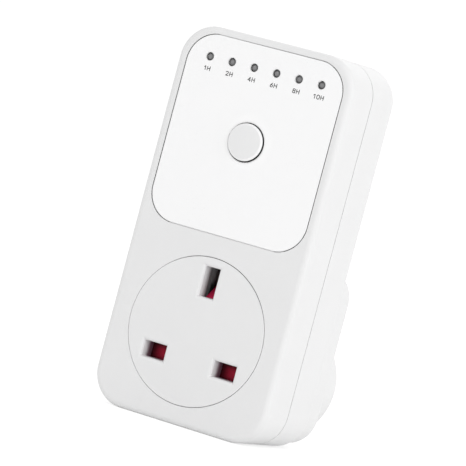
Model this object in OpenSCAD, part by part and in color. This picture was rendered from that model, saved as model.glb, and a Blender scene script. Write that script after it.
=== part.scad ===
// Plug-through countdown timer for a 13 A rectangular-pin wall socket.
// It stands as it does in the wall: +Z is up, the front faces -Y and the pins point to +Y.
// The origin is on the flat face of the plug base, midway between the line and neutral pins.
// Sub-parts are drawn lying on the plug face, x to the right, y up the body and z the height
// above the plug face, and stand_up() then turns each of them upright.

/* [Housing] */
// Width across the body
body_w = 54.5; // [53:0.1:60]
// Height of the body
body_h = 108.7; // [107:0.1:120]
// Depth of the body, from its front face to its back face
body_d = 28.8; // [28:0.1:34]
// Radius of the four long corners
corner_r = 10; // [8:0.1:11]
// Rounding of the front edge
front_edge_r = 1.7; // [0.8:0.1:2]
// Rounding of the back edge
back_edge_r = 1.95; // [0.8:0.05:2.1]
// Thickness of the shell walls
wall = 2.2; // [1.9:0.1:2.4]
// Rounding inside the shells, between floor and walls
inner_edge_r = 0.8; // [0.4:0.1:1.2]
// Height of the line and neutral pins above the bottom edge
pins_above_bottom = 18; // [17.8:0.1:22]
// Depth of the front shell, down to the parting line
front_shell_d = 13.6; // [12.5:0.1:15]
// Width of the shadow line between the shells
seam_gap = 0.3; // [0.2:0.05:0.5]
// Height of the tongue that keys the rear shell into the front shell
tongue_h = 1.6; // [1:0.1:2]

/* [Plug base] */
// How far the first step stands inside the body's outline
plateau_inset = 1.1; // [0.8:0.1:1.6]
// Height of the first step
plateau_h = 7.6; // [6.5:0.1:9]
// Top of the first step, above the line and neutral pins
plateau_top = 33.9; // [33:0.1:36]
// Height of the plug base on the first step
base_h = 7.4; // [6.5:0.1:9]
// How far the plug base's sides stand inside the body's sides
base_side_inset = 1.55; // [1.2:0.05:2.2]
// Distance from the top of the first step to the top of the plug base
base_drop = 0.5; // [0.4:0.1:1.5]
// Rounding of the edges of both steps
base_edge_r = 1; // [0.5:0.1:1.4]

/* [Pins] */
// Distance from the line pin to the neutral pin, and from their line up to the earth pin
pin_pitch = 22.23; // [22.2:0.01:22.26]
// Width of the line and neutral pins
pin_w = 6.35; // [6.2:0.01:6.4]
// Thickness of all three pins
pin_t = 3.97; // [3.9:0.01:4.05]
// Length of the line and neutral pins beyond the plug face
pin_l = 17.7; // [17.2:0.1:18.2]
// Height of the earth pin's section
earth_pin_w = 7.97; // [7.8:0.01:8.05]
// Length of the earth pin beyond the plug face
earth_pin_l = 22.73; // [22.2:0.1:23.2]
// Length of the bevel at a pin's tip
pin_bevel_l = 2; // [1:0.1:2.5]
// Depth of the bevel at a pin's tip
pin_bevel_t = 0.9; // [0.5:0.1:1.2]
// Length of the insulating sleeves beyond the plug face
sleeve_l = 9.5; // [8.5:0.1:10]
// Thickness of the insulating sleeves
sleeve_t = 0.45; // [0.3:0.05:0.6]
// Height of the moulded seats round the pin roots
pin_seat_h = 6; // [5:0.1:6.5]
// Wall of the moulded seats
pin_seat_wall = 1.6; // [1.2:0.1:1.8]
// Thickness of the flange on a pin's root
pin_flange_t = 1; // [0.8:0.1:1.2]
// How far the flange stands past the pin
pin_flange_lip = 0.8; // [0.5:0.1:1]

/* [Socket] */
// Diameter of the groove round the socket face
disc_d = 41.6; // [40:0.1:43]
// Width of the groove round the socket face
disc_gap = 0.2; // [0.15:0.05:0.5]
// Thickness of the socket disc
disc_t = 2.6; // [2.5:0.1:3]
// Thickness of the disc's rim, which sits on the shell's ledge
disc_rim_t = 1.2; // [1:0.1:1.4]
// Width of the ledge under the disc's rim
disc_ledge = 1.4; // [1:0.1:2]
// Width of the line and neutral apertures
slot_w = 7; // [6.8:0.05:7.3]
// Height of the line and neutral apertures
slot_h = 4.5; // [4.4:0.05:4.7]
// Width of the earth aperture
earth_slot_w = 4.5; // [4.4:0.05:4.7]
// Height of the earth aperture
earth_slot_h = 8.5; // [8.4:0.05:8.8]
// Rounding of the mouth of each aperture
slot_round = 0.9; // [0.5:0.1:1.2]
// Wall of the guides behind the apertures
guide_wall = 1.2; // [1:0.1:1.4]
// Width of the collar moulded behind the disc's ledge
collar_w = 2.4; // [1.8:0.1:3]
// Height of that collar
collar_h = 1.5; // [1:0.1:2]

/* [Shutter] */
// Depth of the shutter's front behind the socket face
shutter_depth = 6.4; // [6.2:0.1:6.8]
// Thickness of the shutter's plates
shutter_t = 2; // [1.7:0.1:2.2]
// How far the plates reach past the apertures
shutter_cover = 0.75; // [0.5:0.05:0.9]
// Travel that opens the line and neutral apertures
shutter_travel = 5.5; // [5.4:0.1:5.8]
// Rounding of the shutter's lower corners
shutter_corner_r = 2.5; // [2:0.1:2.8]
// Width of the stem that joins the plates to the ramp
stem_w = 6; // [5:0.1:7]
// Width of the ramp that the earth pin pushes
ramp_w = 4; // [3.5:0.1:4.1]
// Depth of the ramp's lip behind the socket face
ramp_lip_d = 4.6; // [4.5:0.1:5]
// Depth of the ramp's far end
ramp_end_d = 11.9; // [11.5:0.1:15.2]
// Length of the ramp's foot, below the earth aperture
ramp_foot = 3; // [2.5:0.1:3.5]
// Thickness of the ramp's tip, measured up the body
ramp_tip = 2.2; // [1.8:0.1:2.6]
// Gap beside every moving part
run_gap = 0.3; // [0.25:0.05:0.35]
// Outer diameter of the shutter spring
spring_d = 3.4; // [3:0.1:3.6]
// Diameter of the spring wire
spring_wire = 0.45; // [0.35:0.05:0.5]
// Turns of the spring
spring_turns = 7; // [5:1:8]
// Length of the spring at rest
spring_l = 11; // [10.5:0.1:11.2]
// Length of the nubs that centre the spring
nub_l = 2; // [1.5:0.1:2.4]

/* [Contacts] */
// Thickness of the contact strip
strip_t = 0.8; // [0.6:0.05:0.9]
// Width of the line and neutral contacts
contact_w = 6.6; // [6:0.1:6.8]
// Width of the earth contact
earth_contact_w = 7.6; // [7:0.1:7.8]
// Gap of a contact where it grips
pinch_gap = 3.6; // [3.4:0.05:3.8]
// Gap of a contact at its mouth
mouth_gap = 5.6; // [5.2:0.1:5.8]
// Height of the line and neutral contacts
contact_h = 13.6; // [12.5:0.1:14]
// Height of the earth contact
earth_contact_h = 10.4; // [9.5:0.1:11]
// Thickness of the carrier's front plate
plate_t = 1.6; // [1.4:0.1:1.8]
// Thickness of the rails beside the shutter
rail_t = 1.5; // [1.2:0.1:1.6]
// Radius of the posts that back the socket disc
post_r = 1.6; // [1.2:0.1:1.8]
// Width of the straps on the pin roots
strap_w = 5; // [4:0.1:5.4]
// Thickness of those straps
strap_t = 1; // [0.8:0.1:1.1]
// Radius of the rivet stem on a pin's root
rivet_r = 1.3; // [1:0.1:1.4]
// Radius of the rivet head
rivet_head_r = 1.9; // [1.6:0.1:2]

/* [Timer panel] */
// Width of the shell's border beside the panel
panel_side = 2.85; // [2.75:0.05:3.7]
// Distance from the groove round the socket face up to the panel
panel_rise = 6.17; // [5.5:0.01:9.5]
// Thickness of the inlaid panel
panel_t = 1.2; // [1:0.1:1.3]
// Corner radius of the panel
panel_r = 8.6; // [6:0.1:10]
// Gap round the panel
panel_gap = 0.2; // [0.15:0.05:0.3]
// Distance from the top of the body to the top of the panel
panel_drop = 2.12; // [2.1:0.01:2.6]
// Rounding of the panel's face edge
panel_edge_r = 0.25; // [0.1:0.05:0.4]

/* [Button] */
// Diameter of the button
button_d = 10.4; // [9.5:0.1:11.5]
// Gap round the button
button_gap = 0.4; // [0.2:0.05:0.5]
// How far the button stands proud of the panel
button_proud = 1.2; // [0.9:0.1:1.4]
// Rounding of the button's rim
button_rim_r = 0.35; // [0.3:0.05:0.6]
// Height of the dome on the button
button_dome = 0.2; // [0.15:0.05:0.4]
// Distance from the top of the panel to the button's centre
button_drop = 26.7; // [25:0.1:28]
// Travel of the button
button_travel = 0.5; // [0.3:0.1:0.6]
// How far the retaining flange stands past the button
flange_lip = 1.25; // [0.8:0.05:1.5]
// Thickness of the retaining flange
flange_t = 0.8; // [0.6:0.1:0.9]
// Gap between the flange and the shell's floor
flange_gap = 0.1; // [0.05:0.05:0.2]

/* [Indicators] */
// Spacing of the indicator windows
led_pitch = 7.02; // [6.8:0.01:7.2]
// Diameter of an indicator lens
led_d = 2.3; // [2:0.1:2.6]
// Length of an indicator lens
led_l = 4.6; // [4:0.1:5]
// Distance from the top of the panel to the row of indicators
led_drop = 6.4; // [6:0.1:7.5]
// How far a lens lies below the panel's face
led_sink = 0.15; // [0.05:0.05:0.3]
// Gap round a lens
led_gap = 0.12; // [0.08:0.02:0.2]

/* [Control board] */
// Thickness of the board
board_t = 1.6; // [1.2:0.1:1.6]
// Distance from the front face to the board's front
board_depth = 8; // [7.8:0.1:8.2]
// Gap between the board and the side walls
board_side_gap = 2.55; // [2:0.05:3]
// Bottom of the board, above the line and neutral pins
board_bottom = 35.5; // [35:0.1:36]
// Gap between the board and the top wall
board_top_gap = 1.2; // [0.8:0.1:2]
// Size of the switch body
switch_w = 6; // [5.5:0.1:6.5]
// Height of the switch body
switch_h = 3.5; // [3.3:0.1:3.6]
// Diameter of the switch plunger
plunger_d = 3.4; // [3:0.1:3.6]
// Height of the plunger above the switch body
plunger_h = 0.8; // [0.75:0.05:0.9]
// Width of the relay
relay_w = 15.6; // [15:0.1:16]
// Height of the relay, up the board
relay_h = 19; // [18.5:0.1:19.5]
// Gap between the relay and the rear shell's floor
relay_floor_gap = 1.7; // [1:0.1:2.5]
// Thickness of the relay's base
relay_base_t = 1.6; // [1.2:0.1:2]
// Length of the film capacitor
film_w = 17.5; // [16:0.1:18]
// Thickness of the film capacitor
film_t = 8; // [7:0.1:8.5]
// Gap between the film capacitor and the rear shell's floor
film_floor_gap = 2.5; // [1.5:0.1:4]
// Diameter of the electrolytic capacitor
can_d = 8; // [6.5:0.1:8.5]
// Height of the electrolytic capacitor
can_h = 12; // [9:0.1:13]
// Diameter of the varistor
varistor_d = 7.5; // [7:0.1:8]
// Diameter of the insulated wires
wire_d = 2.2; // [1.8:0.1:2.4]

/* [Screws] */
// Shank diameter of the housing screws
screw_d = 2.9; // [2.6:0.1:3]
// Head diameter of the housing screws
screw_head_d = 5; // [4.6:0.1:5.1]
// Head height of the housing screws
screw_head_h = 2; // [1.6:0.1:2.2]
// Shank length of the housing screws
screw_l = 14; // [12:0.5:15]
// Height of the shoulder that the screw heads bear on
screw_seat_z = 20; // [19:0.5:21]
// Height at which the bosses of the two shells meet
boss_meet_z = 24; // [23:0.5:25]
// Radius of the front shell's bosses
boss_r = 2.8; // [2.4:0.1:2.9]
// Radius of the rear shell's bosses
deep_boss_r = 3.6; // [3.4:0.1:3.7]
// Distance of the lower screws from the bottom of the body
low_screw_up = 8.2; // [8:0.1:8.6]
// Distance of the lower screws from the side of the body
low_screw_in = 9.65; // [9.2:0.05:9.8]
// Distance of the upper screws from the top of the body
high_screw_down = 5.2; // [5:0.1:5.6]
// Distance of the upper screws from the side of the body
high_screw_in = 6.95; // [6.8:0.05:7.2]
// Shank diameter of the board screws
board_screw_d = 2; // [1.8:0.1:2.2]
// Shank length of the board screws
board_screw_l = 6; // [5:0.5:6.5]
// Radius of the posts that carry the board
standoff_r = 2.4; // [2:0.1:2.6]

/* [Hidden] */
$fn = 64;

led_hours = [1, 2, 4, 6, 8, 10];
eps = 0.01;      // overlap of shapes that are fused or cut
over = 1;        // how far a cutter runs past what it cuts
graze = 0.02;    // how far round corners stand past the flats that they join
fit_gap = 0.15;  // gap beside a fixed part in its recess
plunger_fit = 0.08;  // gap round the switch plunger
plunger_root = 1;    // length of the plunger inside its switch at rest
rib_t = 1.4;         // thickness of the ribs under the carrier
rib_l = 7.5;         // length of the side ribs
rib_low_y = -5;      // lower end of the side ribs
top_rib_l = 10;      // length of the rib above the earth contact
plate_corner_r = 3;  // corners of the carrier's plate
tab_w = 10;          // width of the tab that holds the spring
nub_r = 1;           // radius of the nubs inside the spring
top_r = 0.6;         // rounding of the shutter's upper corners
riser_x = 2.4;       // distance from a contact's middle to its strap's riser
tail_l = 4.1;        // length of the line contact's tail
tail_gap = 2.5;      // gap between that tail and the line pin's terminal
rivet_head_h = 0.8;  // height of the rivet heads
lead_r = 0.35;       // radius of the components' leads
stand_off = 0.5;     // gap under the upright components
chip_w = 3.9;        // width of the microcontroller
chip_l = 8.7;        // length of the microcontroller
chip_t = 1.4;        // thickness of the microcontroller
leg_pitch = 1.27;    // spacing of its legs
resistor_d = 3;      // diameter of the fusible resistor
resistor_l = 8;      // length of the fusible resistor
diode_d = 2.6;       // diameter of a rectifier diode
diode_l = 4.6;       // length of a rectifier diode
diode_pitch = 4.5;   // spacing of the diodes
low_row = 9;         // height of the film capacitor up the board
mid_row = 21;        // height of the middle components
high_row = 35;       // height of the diodes and the microcontroller
screw_row = 4.5;     // height of the lower board screws
screw_fall = 17.3;   // distance of the upper board screws from the board's top
wire_y = riser_x + strap_t + wire_d/2 + 0.3;  // wires' distance above their pins, beside the risers

// Heights above the plug face
front_z = base_h + plateau_h + body_d;
back_z = base_h + plateau_h;
parting_z = front_z - front_shell_d;
floor_z = front_z - wall;
shutter_z = front_z - shutter_depth - shutter_t;
plate_z = shutter_z - run_gap - plate_t;
guide_z = front_z - shutter_depth + run_gap;
earth_guide_z = front_z - ramp_lip_d + run_gap;
contact_z = plate_z - run_gap - contact_h;
earth_contact_z = front_z - ramp_end_d - 2*run_gap - earth_contact_h;
pin_root_z = pin_seat_h + pin_flange_t;
board_z = front_z - board_depth;
board_back_z = board_z - board_t;

// Places up the body
body_bottom = -pins_above_bottom;
body_top = body_h - pins_above_bottom;
body_mid = (body_top + body_bottom)/2;
disc_y = pin_pitch*3/8;  // the point at the same distance from all three pins
panel_top = body_top - panel_drop;
panel_w = body_w - 2*panel_side;
panel_h = panel_top - disc_y - disc_d/2 - panel_rise;
button_y = panel_top - button_drop;
led_y = panel_top - led_drop;
board_top = body_top - wall - board_top_gap;
board_w = body_w - 2*wall - 2*board_side_gap;
relay_d = board_back_z - back_z - wall - relay_floor_gap;
shutter_half_w = pin_pitch/2 + slot_w/2 + shutter_cover;
shutter_half_h = slot_h/2 + shutter_cover;
ramp_y = pin_pitch - earth_slot_h/2;
plate_half_w = shutter_half_w + run_gap + rail_t + 1.2;
plate_low_y = -5.8;
plate_top_y = pin_pitch + earth_contact_w/2 + guide_wall + 3.4;
spring_seat_y = -shutter_half_h - spring_l;
spring_z = shutter_z + shutter_t/2;

line_spot = [pin_pitch/2, 0];
neutral_spot = [-pin_pitch/2, 0];
earth_spot = [0, pin_pitch];
// Each housing screw as [x, y, height of the face that it goes in from]
screw_spots = [for (s = [-1, 1]) each [
    [s*(body_w/2 - low_screw_in), body_bottom + low_screw_up, 0],
    [s*(body_w/2 - high_screw_in), body_top - high_screw_down, back_z]]];
standoff_x = board_w/2 - standoff_r;
relay_x = -board_w/2 + relay_w/2 + 1;
relay_y = board_bottom + screw_row + relay_h/2 + 4.5;
mcu_x = relay_x + lead_r + 1.5;
post_spots = [for (s = [-1, 1]) each [
    [s*(pin_pitch/2 + 1), pin_pitch/2 + 1], [s*8, pin_pitch + 1.3]]];
board_screw_spots = [for (s = [-1, 1], y = [board_bottom + screw_row, board_top - screw_fall])
    [s*standoff_x, y]];

// ---- Rounded prisms ----

// Corners of a rectangle, each as [x, y, radius], going round to the left
function rect_corners(cx, cy, w, h, r) = [
    [cx + w/2 - r, cy - h/2 + r, r], [cx + w/2 - r, cy + h/2 - r, r],
    [cx - w/2 + r, cy + h/2 - r, r], [cx - w/2 + r, cy - h/2 + r, r]];

// The body's outline, drawn in by `inset`
function body_corners(inset) =
    rect_corners(0, body_mid, body_w - 2*inset, body_h - 2*inset, corner_r - inset);

// The outline of the first step at the back, drawn in by `inset`
function plateau_corners(inset) = let (
    low = body_bottom + plateau_inset + inset, high = plateau_top - inset)
    rect_corners(0, (low + high)/2, body_w - 2*plateau_inset - 2*inset, high - low,
        corner_r - plateau_inset - inset);

// Direction of the outward normal of the line that touches corners a and b
function tangent_normal(a, b) = let (d = [b.x - a.x, b.y - a.y])
    atan2(d.y, d.x) - acos((a[2] - b[2])/norm(d));
function heading(angle) = [cos(angle), sin(angle)];

// Section through a rim that is `reach` wide and `t` high, with rounded outer edges
module rim_section(reach, t, r_top, r_bottom) {
    difference() {
        square([reach, t]);
        if (r_top > 0) translate([reach - r_top, t - r_top]) outside_arc(r_top);
        if (r_bottom > 0) translate([reach - r_bottom, r_bottom]) mirror([0, 1]) outside_arc(r_bottom);
    }
}

// What a rounded edge leaves off a square one
module outside_arc(r) {
    difference() {
        square(r + over);
        circle(r);
    }
}

// A prism whose outline touches the given corner circles, with its edges rounded
module soft_prism(corners, t, r_top = 0, r_bottom = 0) {
    n = len(corners);
    reach = min([for (c = corners) c[2]]);
    normals = [for (i = [0:n - 1]) tangent_normal(corners[i], corners[(i + 1) % n])];
    for (i = [0:n - 1]) {
        a = corners[i];
        b = corners[(i + 1) % n];
        before = normals[(i + n - 1) % n];
        side = sqrt(pow(b.x - a.x, 2) + pow(b.y - a.y, 2) - pow(a[2] - b[2], 2));
        translate([a.x, a.y, 0]) rotate(before)
            rotate_extrude(angle = (normals[i] - before + 720) % 360)
                rim_section(a[2], t, r_top, r_bottom);
        translate([a.x, a.y, 0]) rotate(normals[i])
            translate([a[2] - reach, side, 0]) rotate([90, 0, 0])
                linear_extrude(side) rim_section(reach, t, r_top, r_bottom);
    }
    linear_extrude(t) polygon([for (i = [0:n - 1]) let (
        a = corners[i], centre = [a.x, a.y], spare = a[2] - reach,
        before = normals[(i + n - 1) % n])
        each spare > eps
            ? [centre + spare*heading(before), centre, centre + spare*heading(normals[i])]
            : [centre]]);
}

// The plug base's outline, drawn in by `inset`: a triangle with three round corners alike.
// Its flat sides lie a hair inside the corners' tangents, so that all the faces cross cleanly.
module base_block(inset, t, edge_r = 0) {
    r = pins_above_bottom - plateau_inset - inset;
    low_x = body_w/2 - base_side_inset - inset - r;
    centres = [[low_x, 0], [0, plateau_top - base_drop - inset - r], [-low_x, 0]];
    for (i = [0:2]) let (a = centres[i], d = centres[(i + 1) % 3] - a) translate([a.x, a.y, 0]) {
        rotate_extrude() rim_section(r, t, 0, edge_r);
        rotate(atan2(d.y, d.x) - 90) translate([-graze, norm(d), 0]) rotate([90, 0, 0])
            linear_extrude(norm(d)) rim_section(r, t, 0, edge_r);
    }
    linear_extrude(t) polygon(centres);
}

// A round plate or puck with rounded edges
module soft_disc(r, t, r_top = 0, r_bottom = 0) {
    rotate_extrude() rim_section(r, t, r_top, r_bottom);
}

// A box on its centre line, from z = 0 up
module block(w, h, t) {
    translate([-w/2, -h/2, 0]) cube([w, h, t]);
}

module stand_up() {
    rotate([90, 0, 0]) children();
}

module at_each(spots, z) {
    for (p = spots) translate([p.x, p.y, z]) children();
}

// ---- Swept wires ----

// A smooth curve through the given points, with `steps` pieces between each two
function spline(p, steps) = let (n = len(p)) [
    for (i = [0:n - 2], k = [0:steps - 1]) let (
        u = k/steps, a = p[max(i - 1, 0)], b = p[i], c = p[i + 1], d = p[min(i + 2, n - 1)])
        0.5*((2*b) + (c - a)*u + (2*a - 5*b + 4*c - d)*u*u + (3*b - a - 3*c + d)*u*u*u),
    p[n - 1]];

function unit(v) = v/norm(v);

// A round tube along the points; `side` is a direction that the path never takes
module tube(path, r, sides, side) {
    n = len(path);
    rings = [for (i = [0:n - 1]) let (
        t = unit(path[min(i + 1, n - 1)] - path[max(i - 1, 0)]),
        u = unit(cross(side, t)), v = cross(t, u))
        each [for (k = [0:sides - 1]) let (a = 360*k/sides) path[i] + r*(cos(a)*u + sin(a)*v)]];
    faces = [
        [for (k = [0:sides - 1]) k],
        [for (k = [sides - 1:-1:0]) (n - 1)*sides + k],
        for (i = [0:n - 2], k = [0:sides - 1]) let (
            a = i*sides + k, b = i*sides + (k + 1) % sides)
            each [[a, a + sides, b + sides], [a, b + sides, b]]];
    polyhedron(rings, faces);
}

// ---- Housing ----

module front_shell() {
    shell_t = front_shell_d - seam_gap/2;
    color("white") stand_up() difference() {
        union() {
            difference() {
                translate([0, 0, front_z - shell_t])
                    soft_prism(body_corners(0), shell_t, front_edge_r);
                translate([0, 0, parting_z - over])
                    soft_prism(body_corners(wall), floor_z - parting_z + over, inner_edge_r);
                translate([0, 0, parting_z - over])
                    soft_prism(body_corners(wall/2), tongue_h + seam_gap + over);
            }
            intersection() {
                at_each(screw_spots, boss_meet_z)
                    cylinder(r = boss_r, h = floor_z - boss_meet_z + eps);
                translate([0, 0, boss_meet_z - over])
                    soft_prism(body_corners(wall + fit_gap), body_d);
            }
            at_each(board_screw_spots, board_z)
                cylinder(r = standoff_r, h = floor_z - board_z + eps);
            translate([0, disc_y, floor_z - collar_h])
                cylinder(r = disc_d/2 - disc_ledge + collar_w, h = collar_h + eps);
        }
        panel_recess();
        disc_recess();
        at_each(screw_spots, boss_meet_z - over)
            cylinder(d = screw_d + 2*eps, h = screw_seat_z + screw_l - boss_meet_z + 2*over);
        at_each(board_screw_spots, board_z - over)
            cylinder(d = board_screw_d + 2*eps, h = board_screw_l - board_t + over + 0.5);
    }
}

// Pocket for the panel, with the ways through its floor for the button and the lenses
module panel_recess() {
    translate([0, 0, front_z - panel_t - eps])
        soft_prism(panel_corners(-panel_gap), panel_t + over);
    translate([0, button_y, floor_z - over])
        cylinder(r = button_d/2 + button_gap, h = wall + 2*over);
    for (i = [0:len(led_hours) - 1]) translate([led_x(i), led_y, floor_z - over])
        cylinder(d = led_d + 4*led_gap, h = wall + 2*over);
}

// Stepped round opening that the socket disc drops into
module disc_recess() {
    translate([0, disc_y, front_z - disc_rim_t]) cylinder(d = disc_d + disc_gap, h = disc_rim_t + over);
    translate([0, disc_y, floor_z - collar_h - over])
        cylinder(r = disc_d/2 - disc_ledge, h = wall + collar_h + 2*over);
}

module rear_shell() {
    shell_t = body_d - front_shell_d - seam_gap/2;
    tongue_inset = wall/2 + fit_gap;
    color("white") stand_up() difference() {
        union() {
            difference() {
                union() {
                    translate([0, 0, back_z]) soft_prism(body_corners(0), shell_t, 0, back_edge_r);
                    translate([0, 0, back_z + wall])
                        soft_prism(body_corners(tongue_inset), shell_t - wall + tongue_h);
                    translate([0, 0, base_h])
                        soft_prism(plateau_corners(0), plateau_h + wall, 0, base_edge_r);
                    base_block(0, base_h + wall, base_edge_r);
                }
                translate([0, 0, back_z + wall])
                    soft_prism(body_corners(wall), body_d, 0, inner_edge_r);
                translate([0, 0, base_h + wall]) soft_prism(plateau_corners(wall), plateau_h + over);
                translate([0, 0, wall]) base_block(wall, base_h + over);
            }
            for (p = screw_spots) translate([p.x, p.y, p.z + wall/2])
                cylinder(r = deep_boss_r, h = boss_meet_z - p.z - wall/2);
            pin_seats();
            carrier_ribs();
        }
        at_each(screw_spots, -over) {
            cylinder(d = screw_d + 2*fit_gap, h = boss_meet_z + 2*over);
            cylinder(d = screw_head_d + 4*fit_gap, h = screw_seat_z + over);
        }
        at_each([line_spot, neutral_spot], -over) block(pin_w, pin_t, pin_seat_h + 2*over);
        at_each([earth_spot], -over) block(pin_t, earth_pin_w, pin_seat_h + 2*over);
    }
}

// Moulded collars that hold the pin roots
module pin_seats() {
    at_each([line_spot, neutral_spot], wall - eps)
        block(pin_w + 2*pin_seat_wall, pin_t + 2*pin_seat_wall, pin_seat_h - wall + eps);
    at_each([earth_spot], wall - eps)
        block(pin_t + 2*pin_seat_wall, earth_pin_w + 2*pin_seat_wall, pin_seat_h - wall + eps);
}

// Ribs that stand on the floor of the plug base and carry the contact carrier's plate
module carrier_ribs() {
    rib_h = plate_z - wall/2;
    for (s = [-1, 1]) translate([s*(plate_half_w - rib_t/2 - run_gap), rib_low_y + rib_l/2, wall/2])
        block(rib_t, rib_l, rib_h);
    translate([0, plate_top_y - rib_t/2 - run_gap, wall/2]) block(top_rib_l, rib_t, rib_h);
}

function panel_corners(inset) = rect_corners(0, panel_top - panel_h/2, panel_w - 2*inset,
    panel_h - 2*inset, panel_r - inset);

function led_x(i) = (i - (len(led_hours) - 1)/2)*led_pitch;

module timer_panel() {
    color("whitesmoke") stand_up() difference() {
        translate([0, 0, front_z - panel_t]) soft_prism(panel_corners(0), panel_t, panel_edge_r);
        translate([0, button_y, front_z - panel_t - over])
            cylinder(r = button_d/2 + button_gap, h = panel_t + 2*over);
        for (i = [0:len(led_hours) - 1]) translate([led_x(i), led_y, front_z - panel_t - over])
            cylinder(d = led_d + 2*led_gap, h = panel_t + 2*over);
    }
}

// ---- Socket face and shutter ----

module socket_disc() {
    color("white") stand_up() difference() {
        union() {
            translate([0, disc_y, front_z - disc_rim_t])
                soft_disc(disc_d/2 - disc_gap/2, disc_rim_t, panel_edge_r);
            intersection() {
                translate([0, disc_y, guide_z])
                    cylinder(r = disc_d/2 - disc_ledge - fit_gap, h = front_z - panel_edge_r - guide_z);
                union() {
                    translate([0, disc_y, front_z - disc_t]) cylinder(d = disc_d, h = disc_t);
                    at_each([line_spot, neutral_spot], guide_z - over)
                        block(slot_w + 2*guide_wall, slot_h + 2*guide_wall, shutter_depth);
                    at_each([earth_spot], earth_guide_z)
                        block(earth_slot_w + 2*guide_wall, earth_slot_h + 2*guide_wall, ramp_lip_d - over);
                }
            }
        }
        at_each([line_spot, neutral_spot], front_z) aperture(slot_w, slot_h);
        at_each([earth_spot], front_z) aperture(earth_slot_w, earth_slot_h);
    }
}

// Way for a pin through the disc, with a rounded mouth at z = 0
module aperture(w, h) {
    translate([0, 0, -shutter_depth]) block(w, h, shutter_depth + over);
    translate([0, 0, -slot_round]) difference() {
        block(w + 2*slot_round, h + 2*slot_round, slot_round + over);
        for (s = [-1, 1]) {
            translate([-w, s*(h/2 + slot_round), 0]) rotate([0, 90, 0])
                cylinder(r = slot_round, h = 2*w);
            translate([s*(w/2 + slot_round), h, 0]) rotate([90, 0, 0])
                cylinder(r = slot_round, h = 2*h);
        }
    }
}

module safety_shutter() {
    low_r = shutter_corner_r;
    color("firebrick") stand_up() {
        translate([0, 0, shutter_z]) soft_prism([
            [shutter_half_w - low_r, low_r - shutter_half_h, low_r],
            [shutter_half_w - top_r, shutter_half_h - top_r, top_r],
            [top_r - shutter_half_w, shutter_half_h - top_r, top_r],
            [low_r - shutter_half_w, low_r - shutter_half_h, low_r]], shutter_t);
        translate([0, (shutter_half_h + ramp_y)/2 - over, shutter_z])
            block(stem_w, ramp_y - shutter_half_h, shutter_t);
        translate([-ramp_w/2, 0, 0]) rotate([90, 0, 90]) linear_extrude(ramp_w) polygon([
            [ramp_y - ramp_foot, shutter_z],
            [ramp_y - ramp_foot, front_z - ramp_lip_d],
            [ramp_y, front_z - ramp_lip_d],
            [ramp_y + shutter_travel, front_z - ramp_end_d],
            [ramp_y + shutter_travel - ramp_tip, front_z - ramp_end_d],
            [ramp_y - over, shutter_z]]);
        translate([0, eps - shutter_half_h, spring_z]) rotate([90, 0, 0])
            cylinder(r = nub_r, h = nub_l);
    }
}

module shutter_spring() {
    coil_r = (spring_d - spring_wire)/2;
    steps = 14*spring_turns;
    low = spring_seat_y + spring_wire/2;
    high = -shutter_half_h - spring_wire/2;
    color("silver") stand_up() tube([for (i = [0:steps]) let (a = 360*spring_turns*i/steps)
        [coil_r*cos(a), low + (high - low)*i/steps, spring_z + coil_r*sin(a)]],
        spring_wire/2, 8, [0, 1, 0]);
}

// ---- Contacts and their carrier ----

// Half of the room inside a well, across the contact's leaves
well_half = mouth_gap/2 + strip_t + 2*fit_gap;
function well_room(contact) = contact + 4*fit_gap + 0.2;

module contact_carrier() {
    seat_t = 1.2;
    color("gainsboro") stand_up() difference() {
        union() {
            translate([0, 0, plate_z]) {
                soft_prism(rect_corners(0, (plate_low_y + plate_top_y)/2, 2*plate_half_w,
                    plate_top_y - plate_low_y, plate_corner_r), plate_t);
                translate([0, (spring_seat_y - seat_t + plate_low_y)/2 + over, 0])
                    block(tab_w, plate_low_y - spring_seat_y + seat_t + 2*over, plate_t);
                for (s = [-1, 1]) translate([s*(shutter_half_w + run_gap + rail_t/2),
                    (plate_low_y + shutter_half_h + plate_corner_r)/2, 0])
                    block(rail_t, shutter_half_h - plate_low_y - plate_corner_r, guide_z - plate_z);
                translate([0, spring_seat_y - seat_t/2, 0])
                    block(spring_d + 2.6, seat_t, spring_z + spring_d/2 - plate_z);
            }
            translate([0, spring_seat_y - eps, spring_z]) rotate([-90, 0, 0])
                cylinder(r = nub_r, h = nub_l);
            at_each(post_spots, plate_z) cylinder(r = post_r, h = front_z - disc_t - plate_z);
            at_each([line_spot, neutral_spot], contact_z - guide_wall)
                block(well_room(contact_w) + 2*guide_wall, 2*(well_half + guide_wall),
                    plate_z - contact_z + guide_wall + eps);
            at_each([earth_spot], earth_contact_z - guide_wall)
                block(2*(well_half + guide_wall), well_room(earth_contact_w) + 2*guide_wall,
                    plate_z - earth_contact_z + guide_wall + eps);
        }
        at_each([line_spot, neutral_spot], 0) {
            translate([0, 0, contact_z]) block(well_room(contact_w), 2*well_half, plate_z - contact_z);
            translate([0, 0, contact_z]) block(well_room(contact_w), pin_t + 1.2, contact_h + 2*plate_t);
            rotate(90) riser_way(contact_z);
        }
        at_each([earth_spot], 0) {
            translate([0, 0, earth_contact_z])
                block(2*well_half, well_room(earth_contact_w), plate_z - earth_contact_z);
            translate([0, 0, earth_contact_z])
                block(pin_t + 1.2, earth_pin_w + 1, plate_z + 2*plate_t - earth_contact_z);
            riser_way(earth_contact_z);
        }
        ramp_way();
        translate([0, (spring_seat_y - shutter_half_h)/2 + over/2, plate_z - over])
            block(spring_d + 2*run_gap, spring_l + over, plate_t + 2*over);
    }
}

// Slot through a well's floor for the strap that comes up to the contact
module riser_way(z) {
    translate([riser_x + strap_t/2, 0, z - guide_wall - over])
        block(strap_t + 2*fit_gap, strap_w + 2*fit_gap, guide_wall + 2*over);
}

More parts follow.
